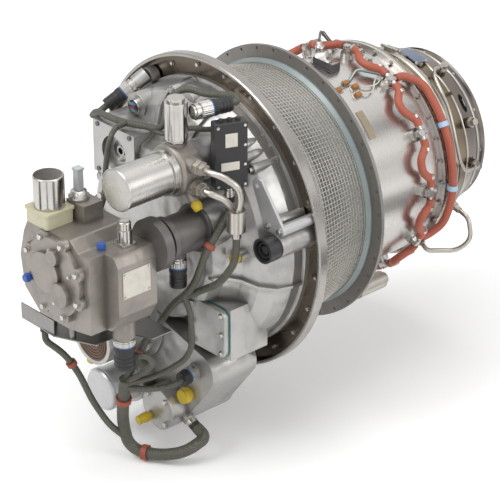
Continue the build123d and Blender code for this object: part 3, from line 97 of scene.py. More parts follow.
def ramp(tree, factor, stops):
    """A colour ramp: stops are (position, colour)."""
    node = put(tree, "ShaderNodeValToRGB", {"Fac": factor})
    elements = node.color_ramp.elements
    while len(elements) < len(stops):
        elements.new(0.5)
    for element, (position, colour) in zip(elements, stops):
        element.position = position
        element.color = (*colour, 1) if len(colour) == 3 else colour
    return node.outputs["Color"]


def maths(tree, operation, first, second=0.0):
    return put(tree, "ShaderNodeMath", {0: first, 1: second}, operation=operation).outputs[0]


def average(tree, first, second):
    return maths(tree, "MULTIPLY", maths(tree, "ADD", first, second), 0.5)


def remap(tree, value, start, stop, low, high):
    """Map start..stop to low..high, and no further."""
    return put(tree, "ShaderNodeMapRange", {
        "Value": value, "From Min": start, "From Max": stop, "To Min": low, "To Max": high,
    }).outputs["Result"]


def own_coords(tree):
    """The piece's own Object coordinates."""
    return put(tree, "ShaderNodeTexCoord").outputs["Object"]


def noise(tree, coords, scale, detail=3.0, roughness=0.55):
    return put(tree, "ShaderNodeTexNoise", {
        "Vector": coords, "Scale": scale, "Detail": detail, "Roughness": roughness}).outputs["Fac"]


def mixed(tree, factor, first, second, blend="MIX"):
    """Two colours, each a socket or three numbers, mixed by a factor."""
    node = put(tree, "ShaderNodeMix", data_type="RGBA", blend_type=blend)
    for key, value in (("Factor", factor), ("A", first), ("B", second)):
        socket = next(i for i in node.inputs if i.name == key and i.enabled)
        fill(tree, socket, (*value, 1) if isinstance(value, tuple) else value)
    return next(o for o in node.outputs if o.enabled)


def bump(tree, height, distance, normal, strength=1.0):
    """A normal with a height laid over it."""
    return put(tree, "ShaderNodeBump", {
        "Height": height, "Distance": distance, "Normal": normal, "Strength": strength,
    }).outputs["Normal"]


def distance_across(tree, point):
    """Distance of a point from the Y axis of its coordinates."""
    parts = put(tree, "ShaderNodeSeparateXYZ", {0: point}).outputs
    flat = put(tree, "ShaderNodeCombineXYZ", {0: parts[0], 1: 0.0, 2: parts[2]}).outputs[0]
    return put(tree, "ShaderNodeVectorMath", {0: flat}, operation="LENGTH").outputs["Value"]


def new_group(name, inputs, outputs, kind="ShaderNodeTree"):
    """A node group with its inputs, (name, kind, value), and its outputs, (name, kind)."""
    group = bpy.data.node_groups.new(name, kind)
    for label, socket_kind, value in inputs:
        socket = group.interface.new_socket(label, in_out="INPUT", socket_type=socket_kind)
        if value is not None:
            socket.default_value = value
    for label, socket_kind in outputs:
        group.interface.new_socket(label, in_out="OUTPUT", socket_type=socket_kind)
    start = group.nodes.new("NodeGroupInput")
    end = group.nodes.new("NodeGroupOutput")
    return group, start, end


FLOAT, COLOUR, VECTOR = "NodeSocketFloat", "NodeSocketColor", "NodeSocketVector"
WHOLE, MATERIAL, GEOMETRY = "NodeSocketInt", "NodeSocketMaterial", "NodeSocketGeometry"

# Painted crevice shade from ambient occlusion, and soft dirt patches, over a base colour
crevice_shade_and_grime, g_in, g_out = new_group("crevice_shade_and_grime", [
    ("Color", COLOUR, (0.5, 0.5, 0.5, 1)), ("Shade And Dirt Colour", COLOUR, (0.05, 0.045, 0.04, 1)),
    ("Amount", FLOAT, 0.5), ("Scale", FLOAT, 30.0),
], [("Color", COLOUR), ("Mask", FLOAT)])
# Ambient occlusion darkens the crevices: this darkening is painted shade
painted_crevice_shade = put(crevice_shade_and_grime, "ShaderNodeAmbientOcclusion", {"Distance": 0.014}, samples=4, only_local=True)
painted_crevice_shade = remap(crevice_shade_and_grime, painted_crevice_shade.outputs["AO"], 0.35, 0.95, 1.0, 0.0)
patch = noise(crevice_shade_and_grime, own_coords(crevice_shade_and_grime), g_in.outputs["Scale"], 4.0, 0.6)
patch = remap(crevice_shade_and_grime, patch, 0.52, 0.78, 0.0, 0.35)
# The mask holds both the painted crevice shade and the random dirt patches
shade_and_dirt_mask = maths(crevice_shade_and_grime, "MULTIPLY", maths(crevice_shade_and_grime, "MAXIMUM", painted_crevice_shade, patch), g_in.outputs["Amount"])
crevice_shade_and_grime.links.new(mixed(crevice_shade_and_grime, shade_and_dirt_mask, g_in.outputs["Color"], g_in.outputs["Shade And Dirt Colour"]), g_out.inputs["Color"])
crevice_shade_and_grime.links.new(shade_and_dirt_mask, g_out.inputs["Mask"])

# Relief: bevelled edges with cast lumps and a fine grain over them
relief, r_in, r_out = new_group("relief", [
    ("Edge", FLOAT, 0.0006), ("Lump Scale", FLOAT, 40.0), ("Lump Height", FLOAT, 0.0006),
    ("Grain Scale", FLOAT, 700.0), ("Grain Height", FLOAT, 0.00004),
], [("Normal", VECTOR)])
coords = own_coords(relief)
edge = put(relief, "ShaderNodeBevel", {"Radius": r_in.outputs["Edge"]}, samples=4).outputs["Normal"]
lumps = bump(relief, noise(relief, coords, r_in.outputs["Lump Scale"], 1.5, 0.4),
             r_in.outputs["Lump Height"], edge)
grain = bump(relief, noise(relief, coords, r_in.outputs["Grain Scale"], 3.0, 0.6),
             r_in.outputs["Grain Height"], lumps)
relief.links.new(grain, r_out.inputs["Normal"])


def group_node(tree, group, values):
    return put(tree, "ShaderNodeGroup", values, node_tree=group)


def along(tree, axis, fine, coarse=6.0):
    """Object coordinates stretched so that noise makes lines across an axis, for brushed metal."""
    stretch = [coarse, coarse, coarse]
    stretch["XYZ".index(axis)] = fine
    return put(tree, "ShaderNodeMapping", {"Vector": own_coords(tree), "Scale": stretch}).outputs["Vector"]


MOTTLE_SHADE = 0.82     # a mottled colour's darker share, where a material names none
FINE_MOTTLE = 260.0     # scale of the fine mottling
BRUSH_DEPTH = 0.00003   # depth of brush lines, in metres
SHADE_AND_DIRT_ROUGHNESS = 0.25   # roughness that the full mask of painted crevice shade and dirt adds


def surface(name, colour, metallic=0.0, rough=0.4, vary=0.08, shade_and_dirt=0.35, shade_and_dirt_colour=(0.05, 0.045, 0.04),
            edge=0.0006, lump=(40.0, 0.0), grain=(700.0, 0.00004), brushed=None, mottled=None, coat=0.0,
            patch=30.0, tint=None):
    """A finished material: mottled base colour with dirt patches and painted crevice shade, varied roughness,
    bevelled edges and relief.
    """
    material = bpy.data.materials.new(name)
    material.use_nodes = True
    tree = material.node_tree
    tree.nodes.clear()
    output = put(tree, "ShaderNodeOutputMaterial")
    shader = put(tree, "ShaderNodeBsdfPrincipled", {
        "Metallic": metallic, "Coat Weight": coat, "Coat Roughness": 0.15})
    point = own_coords(tree)
    other = mottled or tuple(MOTTLE_SHADE * c for c in colour)
    broad = noise(tree, point, patch, 4.0)
    share = average(tree, broad, noise(tree, point, FINE_MOTTLE, 3.0))
    base = mixed(tree, remap(tree, share, 0.0, 1.0, -0.4, 1.4), colour, other)
    if tint:
        base = tint(tree, base)
    # Painted crevice shade and dirt patches laid over the base colour
    shaded_and_dirty = group_node(tree, crevice_shade_and_grime, {
        "Color": base, "Shade And Dirt Colour": (*shade_and_dirt_colour, 1), "Amount": shade_and_dirt, "Scale": patch}).outputs
    normal = group_node(tree, relief, {
        "Edge": edge, "Lump Scale": lump[0], "Lump Height": lump[1],
        "Grain Scale": grain[0], "Grain Height": grain[1]}).outputs["Normal"]
    rough_noise = broad
    if brushed:
        lines = noise(tree, along(tree, *brushed), 1.0, 2.0)
        normal = bump(tree, lines, BRUSH_DEPTH, normal, 0.6)
        rough_noise = average(tree, broad, lines)
    roughness = remap(tree, rough_noise, 0.0, 1.0, rough - vary, rough + vary)
    worn = maths(tree, "ADD", roughness, maths(tree, "MULTIPLY", shaded_and_dirty["Mask"], SHADE_AND_DIRT_ROUGHNESS))
    for socket, value in (("Base Color", shaded_and_dirty["Color"]), ("Roughness", worn), ("Normal", normal)):
        tree.links.new(value, shader.inputs[socket])
    tree.links.new(shader.outputs[0], output.inputs["Surface"])
    return material


def station_mask(tree, axis, limit, width=0.0005):
    """1 where the object coordinate is below the limit."""
    value = put(tree, "ShaderNodeSeparateXYZ", {0: own_coords(tree)}).outputs[axis]
    return remap(tree, value, limit - width, limit + width, 1.0, 0.0)


def inner_pan(tree, base):
    """The seal ring's pan is darker inside its lip."""
    inside = remap(tree, distance_across(tree, own_coords(tree)), 0.2635, 0.2655, 1.0, 0.0)
    return mixed(tree, inside, base, (0.15, 0.125, 0.1))


def heat_tint(tree, base):
    """Straw, brown and faint blue bands, as on a duct that has run hot."""
    point = own_coords(tree)
    station = put(tree, "ShaderNodeSeparateXYZ", {0: point}).outputs[1]
    wobble = maths(tree, "MULTIPLY", noise(tree, point, 9.0, 3.0), 0.06)
    place = remap(tree, maths(tree, "ADD", station, wobble), 0.27, 0.41, 0.0, 1.0)
    bands = ramp(tree, place, [
        (0.0, (0.36, 0.29, 0.2)), (0.35, (0.22, 0.17, 0.12)), (0.6, (0.16, 0.13, 0.12)),
        (0.8, (0.2, 0.19, 0.2)), (1.0, (0.3, 0.24, 0.17))])
    return mixed(tree, 0.75, base, bands)


CONTROL_CAPS = -0.452   # caps in front of this station are blue
HARNESS_END = 0.0       # the harness clamps lie in front of this station, the rear hose's clips behind it


def cap_colours(tree, base):
    """Yellow caps, with blue ones on the front of the fuel control."""
    return mixed(tree, station_mask(tree, 1, CONTROL_CAPS), base, (0.035, 0.11, 0.42))


def sight_marks(tree, base):
    """A plain float in the oil sight glass: a red centre and two blue fields on black."""
    point = own_coords(tree)
    middle = (-0.092, 0.0, 0.18)
    moved = put(tree, "ShaderNodeVectorMath", {0: point, 1: middle}, operation="SUBTRACT").outputs[0]
    distance = distance_across(tree, moved)
    parts = put(tree, "ShaderNodeSeparateXYZ", {0: moved}).outputs
    sideways = maths(tree, "MULTIPLY", maths(tree, "ABSOLUTE", parts[0]), 0.8)
    steep = maths(tree, "GREATER_THAN", maths(tree, "ABSOLUTE", parts[2]), sideways)
    field = maths(tree, "MULTIPLY", maths(tree, "LESS_THAN", distance, 0.0086), steep)
    ragged = maths(tree, "ADD", distance, maths(tree, "MULTIPLY", noise(tree, point, 320.0), 0.003))
    centre = maths(tree, "LESS_THAN", ragged, 0.0056)
    return mixed(tree, centre, mixed(tree, field, base, (0.03, 0.2, 0.4)), (0.3, 0.05, 0.03))


def clip_colours(tree, base):
    """Red-brown clamps on the harness, pale blue clips on the rear hose."""
    return mixed(tree, station_mask(tree, 1, HARNESS_END), (0.42, 0.6, 0.78), base)


silver_cast = surface("silver_cast", (0.5, 0.49, 0.475), 0.8, 0.34, 0.1, 0.7, (0.09, 0.08, 0.07), 0.0014,
                      (34.0, 0.0034), (420.0, 0.00006), patch=18.0)
smooth_paint = surface("silver_paint", (0.6, 0.6, 0.61), 0.6, 0.3, 0.05, 0.3, edge=0.0012,
                       lump=(60.0, 0.0003))
brown_cast = surface("brown_cast", (0.34, 0.31, 0.28), 0.65, 0.38, 0.08, 0.6, (0.06, 0.045, 0.035), 0.0014,
                     (45.0, 0.0016), (600.0, 0.00007), patch=24.0)
dark_cast = surface("dark_cast", (0.16, 0.15, 0.145), 0.6, 0.42, 0.08, 0.4, edge=0.001, lump=(45.0, 0.0006))
flange_metal = surface("flange_metal", (0.3, 0.285, 0.27), 0.75, 0.42, 0.08, 0.3, brushed=("Y", 900.0))
pale_band = surface("pale_band", (0.3, 0.345, 0.345), 0.4, 0.38, 0.05, 0.3)
stainless = surface("stainless", (0.42, 0.4, 0.375), 1.0, 0.26, 0.06, 0.3, brushed=("Y", 1400.0),
                    tint=inner_pan)
wire_metal = surface("wire_metal", (0.6, 0.575, 0.52), 0.85, 0.34, 0.08, 0.3, edge=0.0001)
smooth_grey = surface("smooth_grey", (0.78, 0.78, 0.77), 0.35, 0.3, 0.06, 0.12, lump=(22.0, 0.0012),
                      patch=12.0)
polished = surface("polished_case", (0.66, 0.645, 0.625), 1.0, 0.27, 0.05, 0.25, brushed=("Y", 1200.0),
                   patch=14.0, mottled=(0.6, 0.57, 0.54))
hot_steel = surface("hot_steel", (0.42, 0.37, 0.3), 1.0, 0.26, 0.06, 0.4, brushed=("Y", 900.0), patch=20.0)
bronze = surface("heat_tinted", (0.17, 0.14, 0.105), 1.0, 0.22, 0.07, 0.35, patch=16.0, tint=heat_tint,
                 lump=(14.0, 0.0006))
bright_steel = surface("bright_steel", (0.6, 0.58, 0.55), 1.0, 0.24, 0.06, 0.45, edge=0.0004)
ground_steel = surface("ground_steel", (0.5, 0.49, 0.47), 1.0, 0.3, 0.06, 0.3, edge=0.0004)
chrome = surface("chrome", (0.56, 0.54, 0.51), 1.0, 0.16, 0.04, 0.35, brushed=("Z", 1500.0), edge=0.0008)
bowl_metal = surface("bowl_metal", (0.6, 0.585, 0.56), 1.0, 0.28, 0.06, 0.25, brushed=("Y", 1500.0),
                     edge=0.001)
satin_tube = surface("satin_tube", (0.55, 0.52, 0.47), 1.0, 0.3, 0.05, 0.3, edge=0.0003)
gasket = surface("gasket", (0.02, 0.22, 0.19), 0.0, 0.5, 0.05, 0.2)
seal_brown = surface("seal_brown", (0.22, 0.13, 0.08), 0.1, 0.5, 0.08, 0.6)
black_plastic = surface("black_plastic", (0.025, 0.025, 0.027), 0.0, 0.36, 0.06, 0.2, (0.09, 0.085, 0.08))
black_rubber = surface("black_rubber", (0.022, 0.021, 0.022), 0.0, 0.48, 0.06, 0.3, (0.09, 0.085, 0.08))
cream = surface("cream", (0.62, 0.6, 0.42), 0.0, 0.4, 0.05, 0.35, (0.2, 0.16, 0.08))
tray_metal = surface("tray_metal", (0.3, 0.29, 0.28), 0.85, 0.3, 0.06, 0.3, brushed=("X", 700.0))
cap_plastic = surface("cap_plastic", (0.72, 0.53, 0.04), 0.0, 0.4, 0.06, 0.4, (0.2, 0.1, 0.01),
                      tint=cap_colours)
clamp_rubber = surface("clamp_rubber", (0.34, 0.075, 0.04), 0.0, 0.5, 0.06, 0.4, tint=clip_colours)
hose_sleeve = surface("hose_sleeve", (0.44, 0.11, 0.065), 0.0, 0.46, 0.06, 0.3, (0.25, 0.04, 0.02),
                      lump=(160.0, 0.0004), grain=(1500.0, 0.00008))


def braid_material(name, colour, other, pitch):
    """A braided sleeve: two crossing sets of strands on the object's own coordinates, with painted shade in
    the grooves between them.
    """
    material = surface(name, colour, 0.25, 0.5, 0.06, 0.4, mottled=other)
    tree = material.node_tree
    point = own_coords(tree)
    weave = []
    for turn in (0.9, -0.9):
        turned = put(tree, "ShaderNodeMapping", {"Vector": point, "Rotation": (turn, turn * 0.7, turn)})
        bands = {"Vector": turned.outputs[0], "Scale": pitch, "Distortion": 0.0}
        weave.append(put(tree, "ShaderNodeTexWave", bands, wave_type="BANDS").outputs["Fac"])
    height = maths(tree, "MAXIMUM", *weave)
    shader = next(n for n in tree.nodes if n.type == "BSDF_PRINCIPLED")
    before = shader.inputs["Normal"].links[0].from_socket
    tree.links.new(bump(tree, height, 0.0005, before), shader.inputs["Normal"])
    base = shader.inputs["Base Color"].links[0].from_socket
    # Painted shade in the grooves between strands, and their crowns painted lighter, multiplied into the
    # colour
    shade = remap(tree, height, 0.0, 1.0, 0.4, 1.15)
    tree.links.new(mixed(tree, 1.0, base, shade, "MULTIPLY"), shader.inputs["Base Color"])
    return material


sight_face = surface("sight_face", (0.02, 0.02, 0.022), 0.0, 0.16, 0.04, 0.1, coat=0.5, tint=sight_marks)
bare_plate = surface("bare_plate", (0.72, 0.68, 0.6), 0.35, 0.34, 0.06, 0.35, edge=0.0003, patch=60.0)
tan_plate = surface("tan_plate", (0.42, 0.35, 0.25), 0.5, 0.4, 0.06, 0.3, edge=0.0003, patch=60.0)
blue_plate = surface("blue_plate", (0.2, 0.24, 0.34), 0.7, 0.3, 0.06, 0.3, edge=0.0004, patch=60.0)
amber = surface("amber", (0.4, 0.16, 0.04), 0.0, 0.4, 0.06, 0.3, edge=0.0004)
teal_wire = surface("teal_wire", (0.06, 0.28, 0.27), 0.0, 0.4, 0.05, 0.2, edge=0.0001)
white_wire = surface("white_wire", (0.66, 0.66, 0.62), 0.0, 0.4, 0.05, 0.3, edge=0.0001)
dark_bracket = surface("dark_bracket", (0.16, 0.15, 0.16), 0.7, 0.36, 0.06, 0.4, edge=0.0006)
pale_block = surface("pale_block", (0.56, 0.59, 0.6), 0.1, 0.36, 0.05, 0.3, edge=0.0008)
blue_band = surface("blue_band", (0.05, 0.16, 0.42), 0.1, 0.36, 0.05, 0.2, edge=0.0003)
shaded_inside = surface("shaded_inside", (0.018, 0.016, 0.015), 0.2, 0.6, 0.05, 0.2)

braid = braid_material("braid", (0.135, 0.135, 0.105), (0.085, 0.085, 0.07), 150.0)

dress = {
    "rear_mount_flange": flange_metal, "inlet_band": pale_band, "fire_seal_ring": stainless,
    "inlet_screen": wire_metal, "impeller_shroud": smooth_grey, "inlet_housing": smooth_grey,
    "gearbox_partition": silver_cast, "gas_generator_shaft": ground_steel,
    "compressor_impeller": bright_steel,
    "compressor_turbine": hot_steel, "power_turbine": hot_steel, "power_turbine_shaft": ground_steel,
    "diffuser": bright_steel, "combustor_liner": hot_steel, "turning_duct": hot_steel,
    "turbine_nozzle": hot_steel, "power_turbine_nozzle": hot_steel, "gas_generator_case": polished,
    "turbine_support_case": hot_steel, "case_bolts": bright_steel, "exhaust_strap": satin_tube,
    "exhaust_duct": bronze, "shaft_bearings": ground_steel,
    "starter_idler": ground_steel, "pump_idler": ground_steel, "starter_drive": ground_steel,
    "pump_drive": ground_steel, "intermediate_gear": ground_steel, "output_shaft": ground_steel,
    "gearbox_housing": silver_cast, "output_housing": silver_cast, "output_seal": seal_brown,
    "oil_filter_cover": smooth_paint, "side_cover_gasket": gasket, "side_cover": silver_cast,
    "sight_glass": bright_steel, "fuel_pump": dark_cast, "fuel_control_body": brown_cast,
    "fuel_control_cover": brown_cast, "solenoid_base": cream, "solenoid_can": chrome, "sensor_can": chrome,
    "filter_head": brown_cast, "filter_bowl": bowl_metal, "pressure_switch": chrome, "fuel_tubes": satin_tube,
    "lifting_plate": smooth_paint, "round_port": black_plastic, "electronics_box": black_plastic,
    "plug_shells": bright_steel, "plug_backshells": black_rubber, "harness_tray": tray_metal,
    "fuel_nozzles": bright_steel, "fuel_hoses": hose_sleeve, "drain_tube": satin_tube,
    "bleed_valve": satin_tube, "wiring_harness": braid, "harness_clamps": clamp_rubber,
    "protective_caps": cap_plastic,
    "casting_bolts": bright_steel,
}
for name, node in nodes.items():
    material = dress[name]
    if not node.data.materials:
        node.data.materials.append(material)
    for slot in node.material_slots:
        slot.link = "OBJECT"
        slot.material = material


def own_piece(name, mesh, material, body="engine", smooth=True):
    """A new piece of the scene on a body, with its material."""
    piece = bpy.data.objects.new(name, mesh)
    scene.collection.objects.link(piece)
    mesh.materials.clear()
    mesh.materials.append(material)
    if smooth:
        mesh.polygons.foreach_set("use_smooth", [True] * len(mesh.polygons))
    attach(piece, body)
    return piece


def joined(group, *parts):
    """Several geometries as one."""
    node = group.nodes.new("GeometryNodeJoinGeometry")
    for part in parts:
        group.links.new(part, node.inputs[0])
    return node.outputs[0]


def put_out(group, end, geometry, material):
    """Real geometry with its material, as the group's output."""
    real = put(group, "GeometryNodeRealizeInstances", {"Geometry": geometry})
    coated = put(group, "GeometryNodeSetMaterial", {"Geometry": real.outputs[0], "Material": material})
    group.links.new(coated.outputs[0], end.inputs[0])


# The inlet screen's square wire mesh, by Geometry Nodes
def screen_group():
    group, start, end = new_group("wire_screen", [
        ("Wires Round", WHOLE, 190), ("Rings", WHOLE, 20), ("Front Radius", FLOAT, 0.2366),
        ("Rear Radius", FLOAT, 0.2096), ("Front", FLOAT, -0.1515), ("Rear", FLOAT, -0.0098),
        ("Wire Radius", FLOAT, 0.00082), ("Material", MATERIAL, None),
    ], [("Geometry", GEOMETRY)], "GeometryNodeTree")
    values = start.outputs
    profile = put(group, "GeometryNodeCurvePrimitiveCircle", {
        "Resolution": 5, "Radius": values["Wire Radius"]})

    def swept(curve):
        """A wire along a curve."""
        return put(group, "GeometryNodeCurveToMesh", {
            "Curve": curve.outputs[0], "Profile Curve": profile.outputs[0]}).outputs[0]

    def between(front, rear, share):
        """A value's share of the way from its front to its rear."""
        span = maths(group, "SUBTRACT", rear, front)
        return maths(group, "ADD", front, maths(group, "MULTIPLY", share, span))

    # Wires along the cone
    first = put(group, "ShaderNodeCombineXYZ", {0: values["Front Radius"], 1: values["Front"], 2: 0.0})
    last = put(group, "ShaderNodeCombineXYZ", {0: values["Rear Radius"], 1: values["Rear"], 2: 0.0})
    line = put(group, "GeometryNodeCurvePrimitiveLine", {"Start": first.outputs[0], "End": last.outputs[0]})
    points = put(group, "GeometryNodeMeshLine", {"Count": values["Wires Round"], "Offset": (0, 0, 0)})
    index = put(group, "GeometryNodeInputIndex").outputs[0]
    turn = maths(group, "DIVIDE", maths(group, "MULTIPLY", index, 2 * pi), values["Wires Round"])
    spin = put(group, "ShaderNodeCombineXYZ", {1: turn})
    wires = put(group, "GeometryNodeInstanceOnPoints", {
        "Points": points.outputs[0], "Instance": swept(line), "Rotation": spin.outputs[0]})
    # Rings round it, each scaled from one ring
    share = maths(group, "DIVIDE", index, maths(group, "SUBTRACT", values["Rings"], 1.0))
    place = between(values["Front"], values["Rear"], share)
    size = between(values["Front Radius"], values["Rear Radius"], share)
    ring_radius = 0.22
    circle = put(group, "GeometryNodeCurvePrimitiveCircle", {"Resolution": 232, "Radius": ring_radius})
    upright = put(group, "GeometryNodeTransform", {"Geometry": swept(circle), "Rotation": (pi / 2, 0, 0)})
    rows = put(group, "GeometryNodeMeshLine", {"Count": values["Rings"], "Offset": (0, 0, 0)})
    centre = put(group, "ShaderNodeCombineXYZ", {1: place})
    rows = put(group, "GeometryNodeSetPosition", {"Geometry": rows.outputs[0], "Position": centre.outputs[0]})
    factor = maths(group, "DIVIDE", size, ring_radius)
    scale = put(group, "ShaderNodeCombineXYZ", {0: factor, 1: 1.0, 2: factor})
    rings = put(group, "GeometryNodeInstanceOnPoints", {
        "Points": rows.outputs[0], "Instance": upright.outputs[0], "Scale": scale.outputs[0]})
    put_out(group, end, joined(group, wires.outputs[0], rings.outputs[0]), values["Material"])
    return group


def from_nodes(name, group, material, body="engine", base=None, values=None):
    """Run a Geometry Nodes group once and keep its result as a plain mesh."""
    holder = bpy.data.objects.new(name + "_maker", base or bpy.data.meshes.new(name + "_maker"))
    scene.collection.objects.link(holder)
    modifier = holder.modifiers.new("make", "NODES")
    modifier.node_group = group
    for item in group.interface.items_tree:
        if item.item_type != "SOCKET" or item.in_out != "INPUT":
            continue
        if item.socket_type == "NodeSocketMaterial":
            modifier[item.identifier] = material
        elif item.name in (values or {}):
            modifier[item.identifier] = values[item.name]
    graph = bpy.context.evaluated_depsgraph_get()
    mesh = bpy.data.meshes.new_from_object(holder.evaluated_get(graph), depsgraph=graph)
    bpy.data.objects.remove(holder)
    return own_piece(name, mesh, material, body)


screen = from_nodes("screen_wires", screen_group(), wire_metal)
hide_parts("inlet_screen")


def on_case(radius, angle, y):
    """A place in millimetres about the shaft line, in metres."""
    turn = radians(angle)
    return Vector((radius * cos(turn), y, radius * sin(turn))) * MM


def outward(angle):
    """The direction away from the shaft line at an angle."""
    return on_case(1, angle, 0).normalized()


# Round and hexagonal heads on the points of a mesh, each along its point's aim
def head_group():
    group, start, end = new_group("heads", [
        ("Geometry", GEOMETRY, None), ("Sides", WHOLE, 6), ("Radius", FLOAT, 0.004), ("Height", FLOAT, 0.004),
        ("Washer Radius", FLOAT, 0.005), ("Washer Height", FLOAT, 0.001), ("Material", MATERIAL, None),
    ], [("Geometry", GEOMETRY)], "GeometryNodeTree")
    values = start.outputs
    washer_sides = 20

    def bar(sides, radius, height, lift):
        """A round or many-sided bar along Z, its middle lifted."""
        solid = put(group, "GeometryNodeMeshCylinder", {"Vertices": sides, "Radius": radius, "Depth": height})
        place = put(group, "ShaderNodeCombineXYZ", {2: lift})
        return put(group, "GeometryNodeTransform", {
            "Geometry": solid.outputs["Mesh"], "Translation": place.outputs[0]}).outputs[0]

    def half(height):
        return maths(group, "MULTIPLY", height, 0.5)

    head = bar(values["Sides"], values["Radius"], values["Height"],
               maths(group, "ADD", values["Washer Height"], half(values["Height"])))
    washer = bar(washer_sides, values["Washer Radius"], values["Washer Height"],
                 half(values["Washer Height"]))
    aim = put(group, "GeometryNodeInputNamedAttribute", {"Name": "aim"}, data_type="FLOAT_VECTOR").outputs[0]
    turned = put(group, "FunctionNodeAlignRotationToVector", {"Vector": aim}, axis="Z").outputs[0]
    placed = put(group, "GeometryNodeInstanceOnPoints", {
        "Points": values["Geometry"], "Instance": joined(group, head, washer), "Rotation": turned})
    put_out(group, end, placed.outputs[0], values["Material"])
    return group


heads = head_group()


def head_row(name, spots, radius, height, material, sides=6, washer=1.25, washer_height=0.001, body="engine"):
    """Heads at (place, direction) spots, in metres."""
    base = bpy.data.meshes.new(name + "_points")
    base.from_pydata([tuple(place) for place, aim in spots], [], [])
    aims = base.attributes.new("aim", "FLOAT_VECTOR", "POINT")
    for item, (place, aim) in zip(aims.data, spots):
        item.vector = Vector(aim).normalized()
    piece = from_nodes(name, heads, material, body, base, {
        "Sides": sides, "Radius": radius, "Height": height, "Washer Radius": radius * washer,
        "Washer Height": washer_height,
    })
    piece.data.polygons.foreach_set("use_smooth", [False] * len(piece.data.polygons))
    return piece


def mesh_piece(name, work, material, smooth=False):
    """A new piece from a finished bmesh."""
    mesh = bpy.data.meshes.new(name)
    work.to_mesh(mesh)
    work.free()
    return own_piece(name, mesh, material, smooth=smooth)


def axes_about(aim):
    """A unit axis and two unit directions across it."""
    aim = Vector(aim).normalized()
    side = aim.orthogonal().normalized()
    return aim, side, aim.cross(side)


def plate(name, centre, across, up, size, material, bevel=0.0006):
    """A bevelled block: its centre, two directions of its face, and (width, height, thickness)."""
    across = Vector(across).normalized()
    up = Vector(up).normalized()
    out = across.cross(up)
    frame_of = Matrix((across * size[0], up * size[1], out * size[2])).transposed().to_4x4()
    frame_of.translation = Vector(centre)
    work = bmesh.new()
    bmesh.ops.create_cube(work, size=1.0, matrix=frame_of)
    bmesh.ops.recalc_face_normals(work, faces=work.faces)
    bmesh.ops.bevel(work, geom=work.edges[:], offset=bevel, segments=2, affect="EDGES", profile=0.6)
    return mesh_piece(name, work, material)


STEP_DEGREES = 1.5  # a curved plate's faces are about this wide


def curved_plate(name, radius, angles, stations, thickness, material, rear_radius=None):
    """A thin plate round the shaft line between two angles and two stations, in millimetres."""
    rear_radius = radius if rear_radius is None else rear_radius
    sweep, length = angles[1] - angles[0], stations[1] - stations[0]
    steps = max(6, int(abs(sweep) / STEP_DEGREES))
    work = bmesh.new()
    rows = []
    for lift in (0.0, thickness):
        for share in (0.0, 1.0):
            reach = radius + (rear_radius - radius) * share + lift
            y = stations[0] + length * share
            rows.append([work.verts.new(on_case(reach, angles[0] + sweep * step / steps, y))
                         for step in range(steps + 1)])
    inner_front, inner_rear, outer_front, outer_rear = rows
    for first, second in ((inner_rear, inner_front), (outer_front, outer_rear),
                          (inner_front, outer_front), (outer_rear, inner_rear)):
        for step in range(steps):
            work.faces.new((first[step], first[step + 1], second[step + 1], second[step]))
    work.faces.new((inner_front[0], inner_rear[0], outer_rear[0], outer_front[0]))
    work.faces.new((inner_front[-1], outer_front[-1], outer_rear[-1], inner_rear[-1]))
    bmesh.ops.recalc_face_normals(work, faces=work.faces)
    return mesh_piece(name, work, material)


def turned_piece(name, outline, material, centre=(0, 0, 0), aim=(0, 1, 0), steps=160):
    """A closed outline of (radius, distance) in millimetres, turned about an axis."""
    aim, side, other = axes_about(aim)
    middle = Vector(centre)
    work = bmesh.new()
    rings = []
    for step in range(steps):
        turn = 2 * pi * step / steps
        spoke = side * cos(turn) + other * sin(turn)
        rings.append([work.verts.new(middle + (spoke * r + aim * y) * MM) for r, y in outline])
    for step in range(steps):
        first, second = rings[step], rings[(step + 1) % steps]
        for place in range(len(outline)):
            after = (place + 1) % len(outline)
            work.faces.new((first[place], first[after], second[after], second[place]))
    bmesh.ops.remove_doubles(work, verts=work.verts, dist=1e-7)
    bmesh.ops.recalc_face_normals(work, faces=work.faces)
    return mesh_piece(name, work, material, smooth=True)


def wire(name, points, radius, material):
    """A thin wire held at both ends, along a smooth line led by places in metres."""
    curve = bpy.data.curves.new(name, "CURVE")
    curve.dimensions = "3D"
    curve.bevel_depth = radius
    curve.bevel_resolution = 2
    curve.use_fill_caps = True
    line = curve.splines.new("NURBS")
    line.points.add(len(points) - 1)
    for knot, point in zip(line.points, points):
        knot.co = (*point, 1)
    line.order_u = 3
    line.use_endpoint_u = True
    line.resolution_u = 6
    maker = bpy.data.objects.new(name + "_maker", curve)
    scene.collection.objects.link(maker)
    graph = bpy.context.evaluated_depsgraph_get()
    mesh = bpy.data.meshes.new_from_object(maker.evaluated_get(graph), depsgraph=graph)
    bpy.data.objects.remove(maker)
    return own_piece(name, mesh, material)


def on_cover(radius, angle, y):
    """A place about the middle of the fuel control's front cover, in metres."""
    turn = radians(angle)
    return Vector((0.024 + radius * cos(turn), y, 0.008 + radius * sin(turn)))


SIX_TURNS = [number * pi / 3 for number in range(6)]


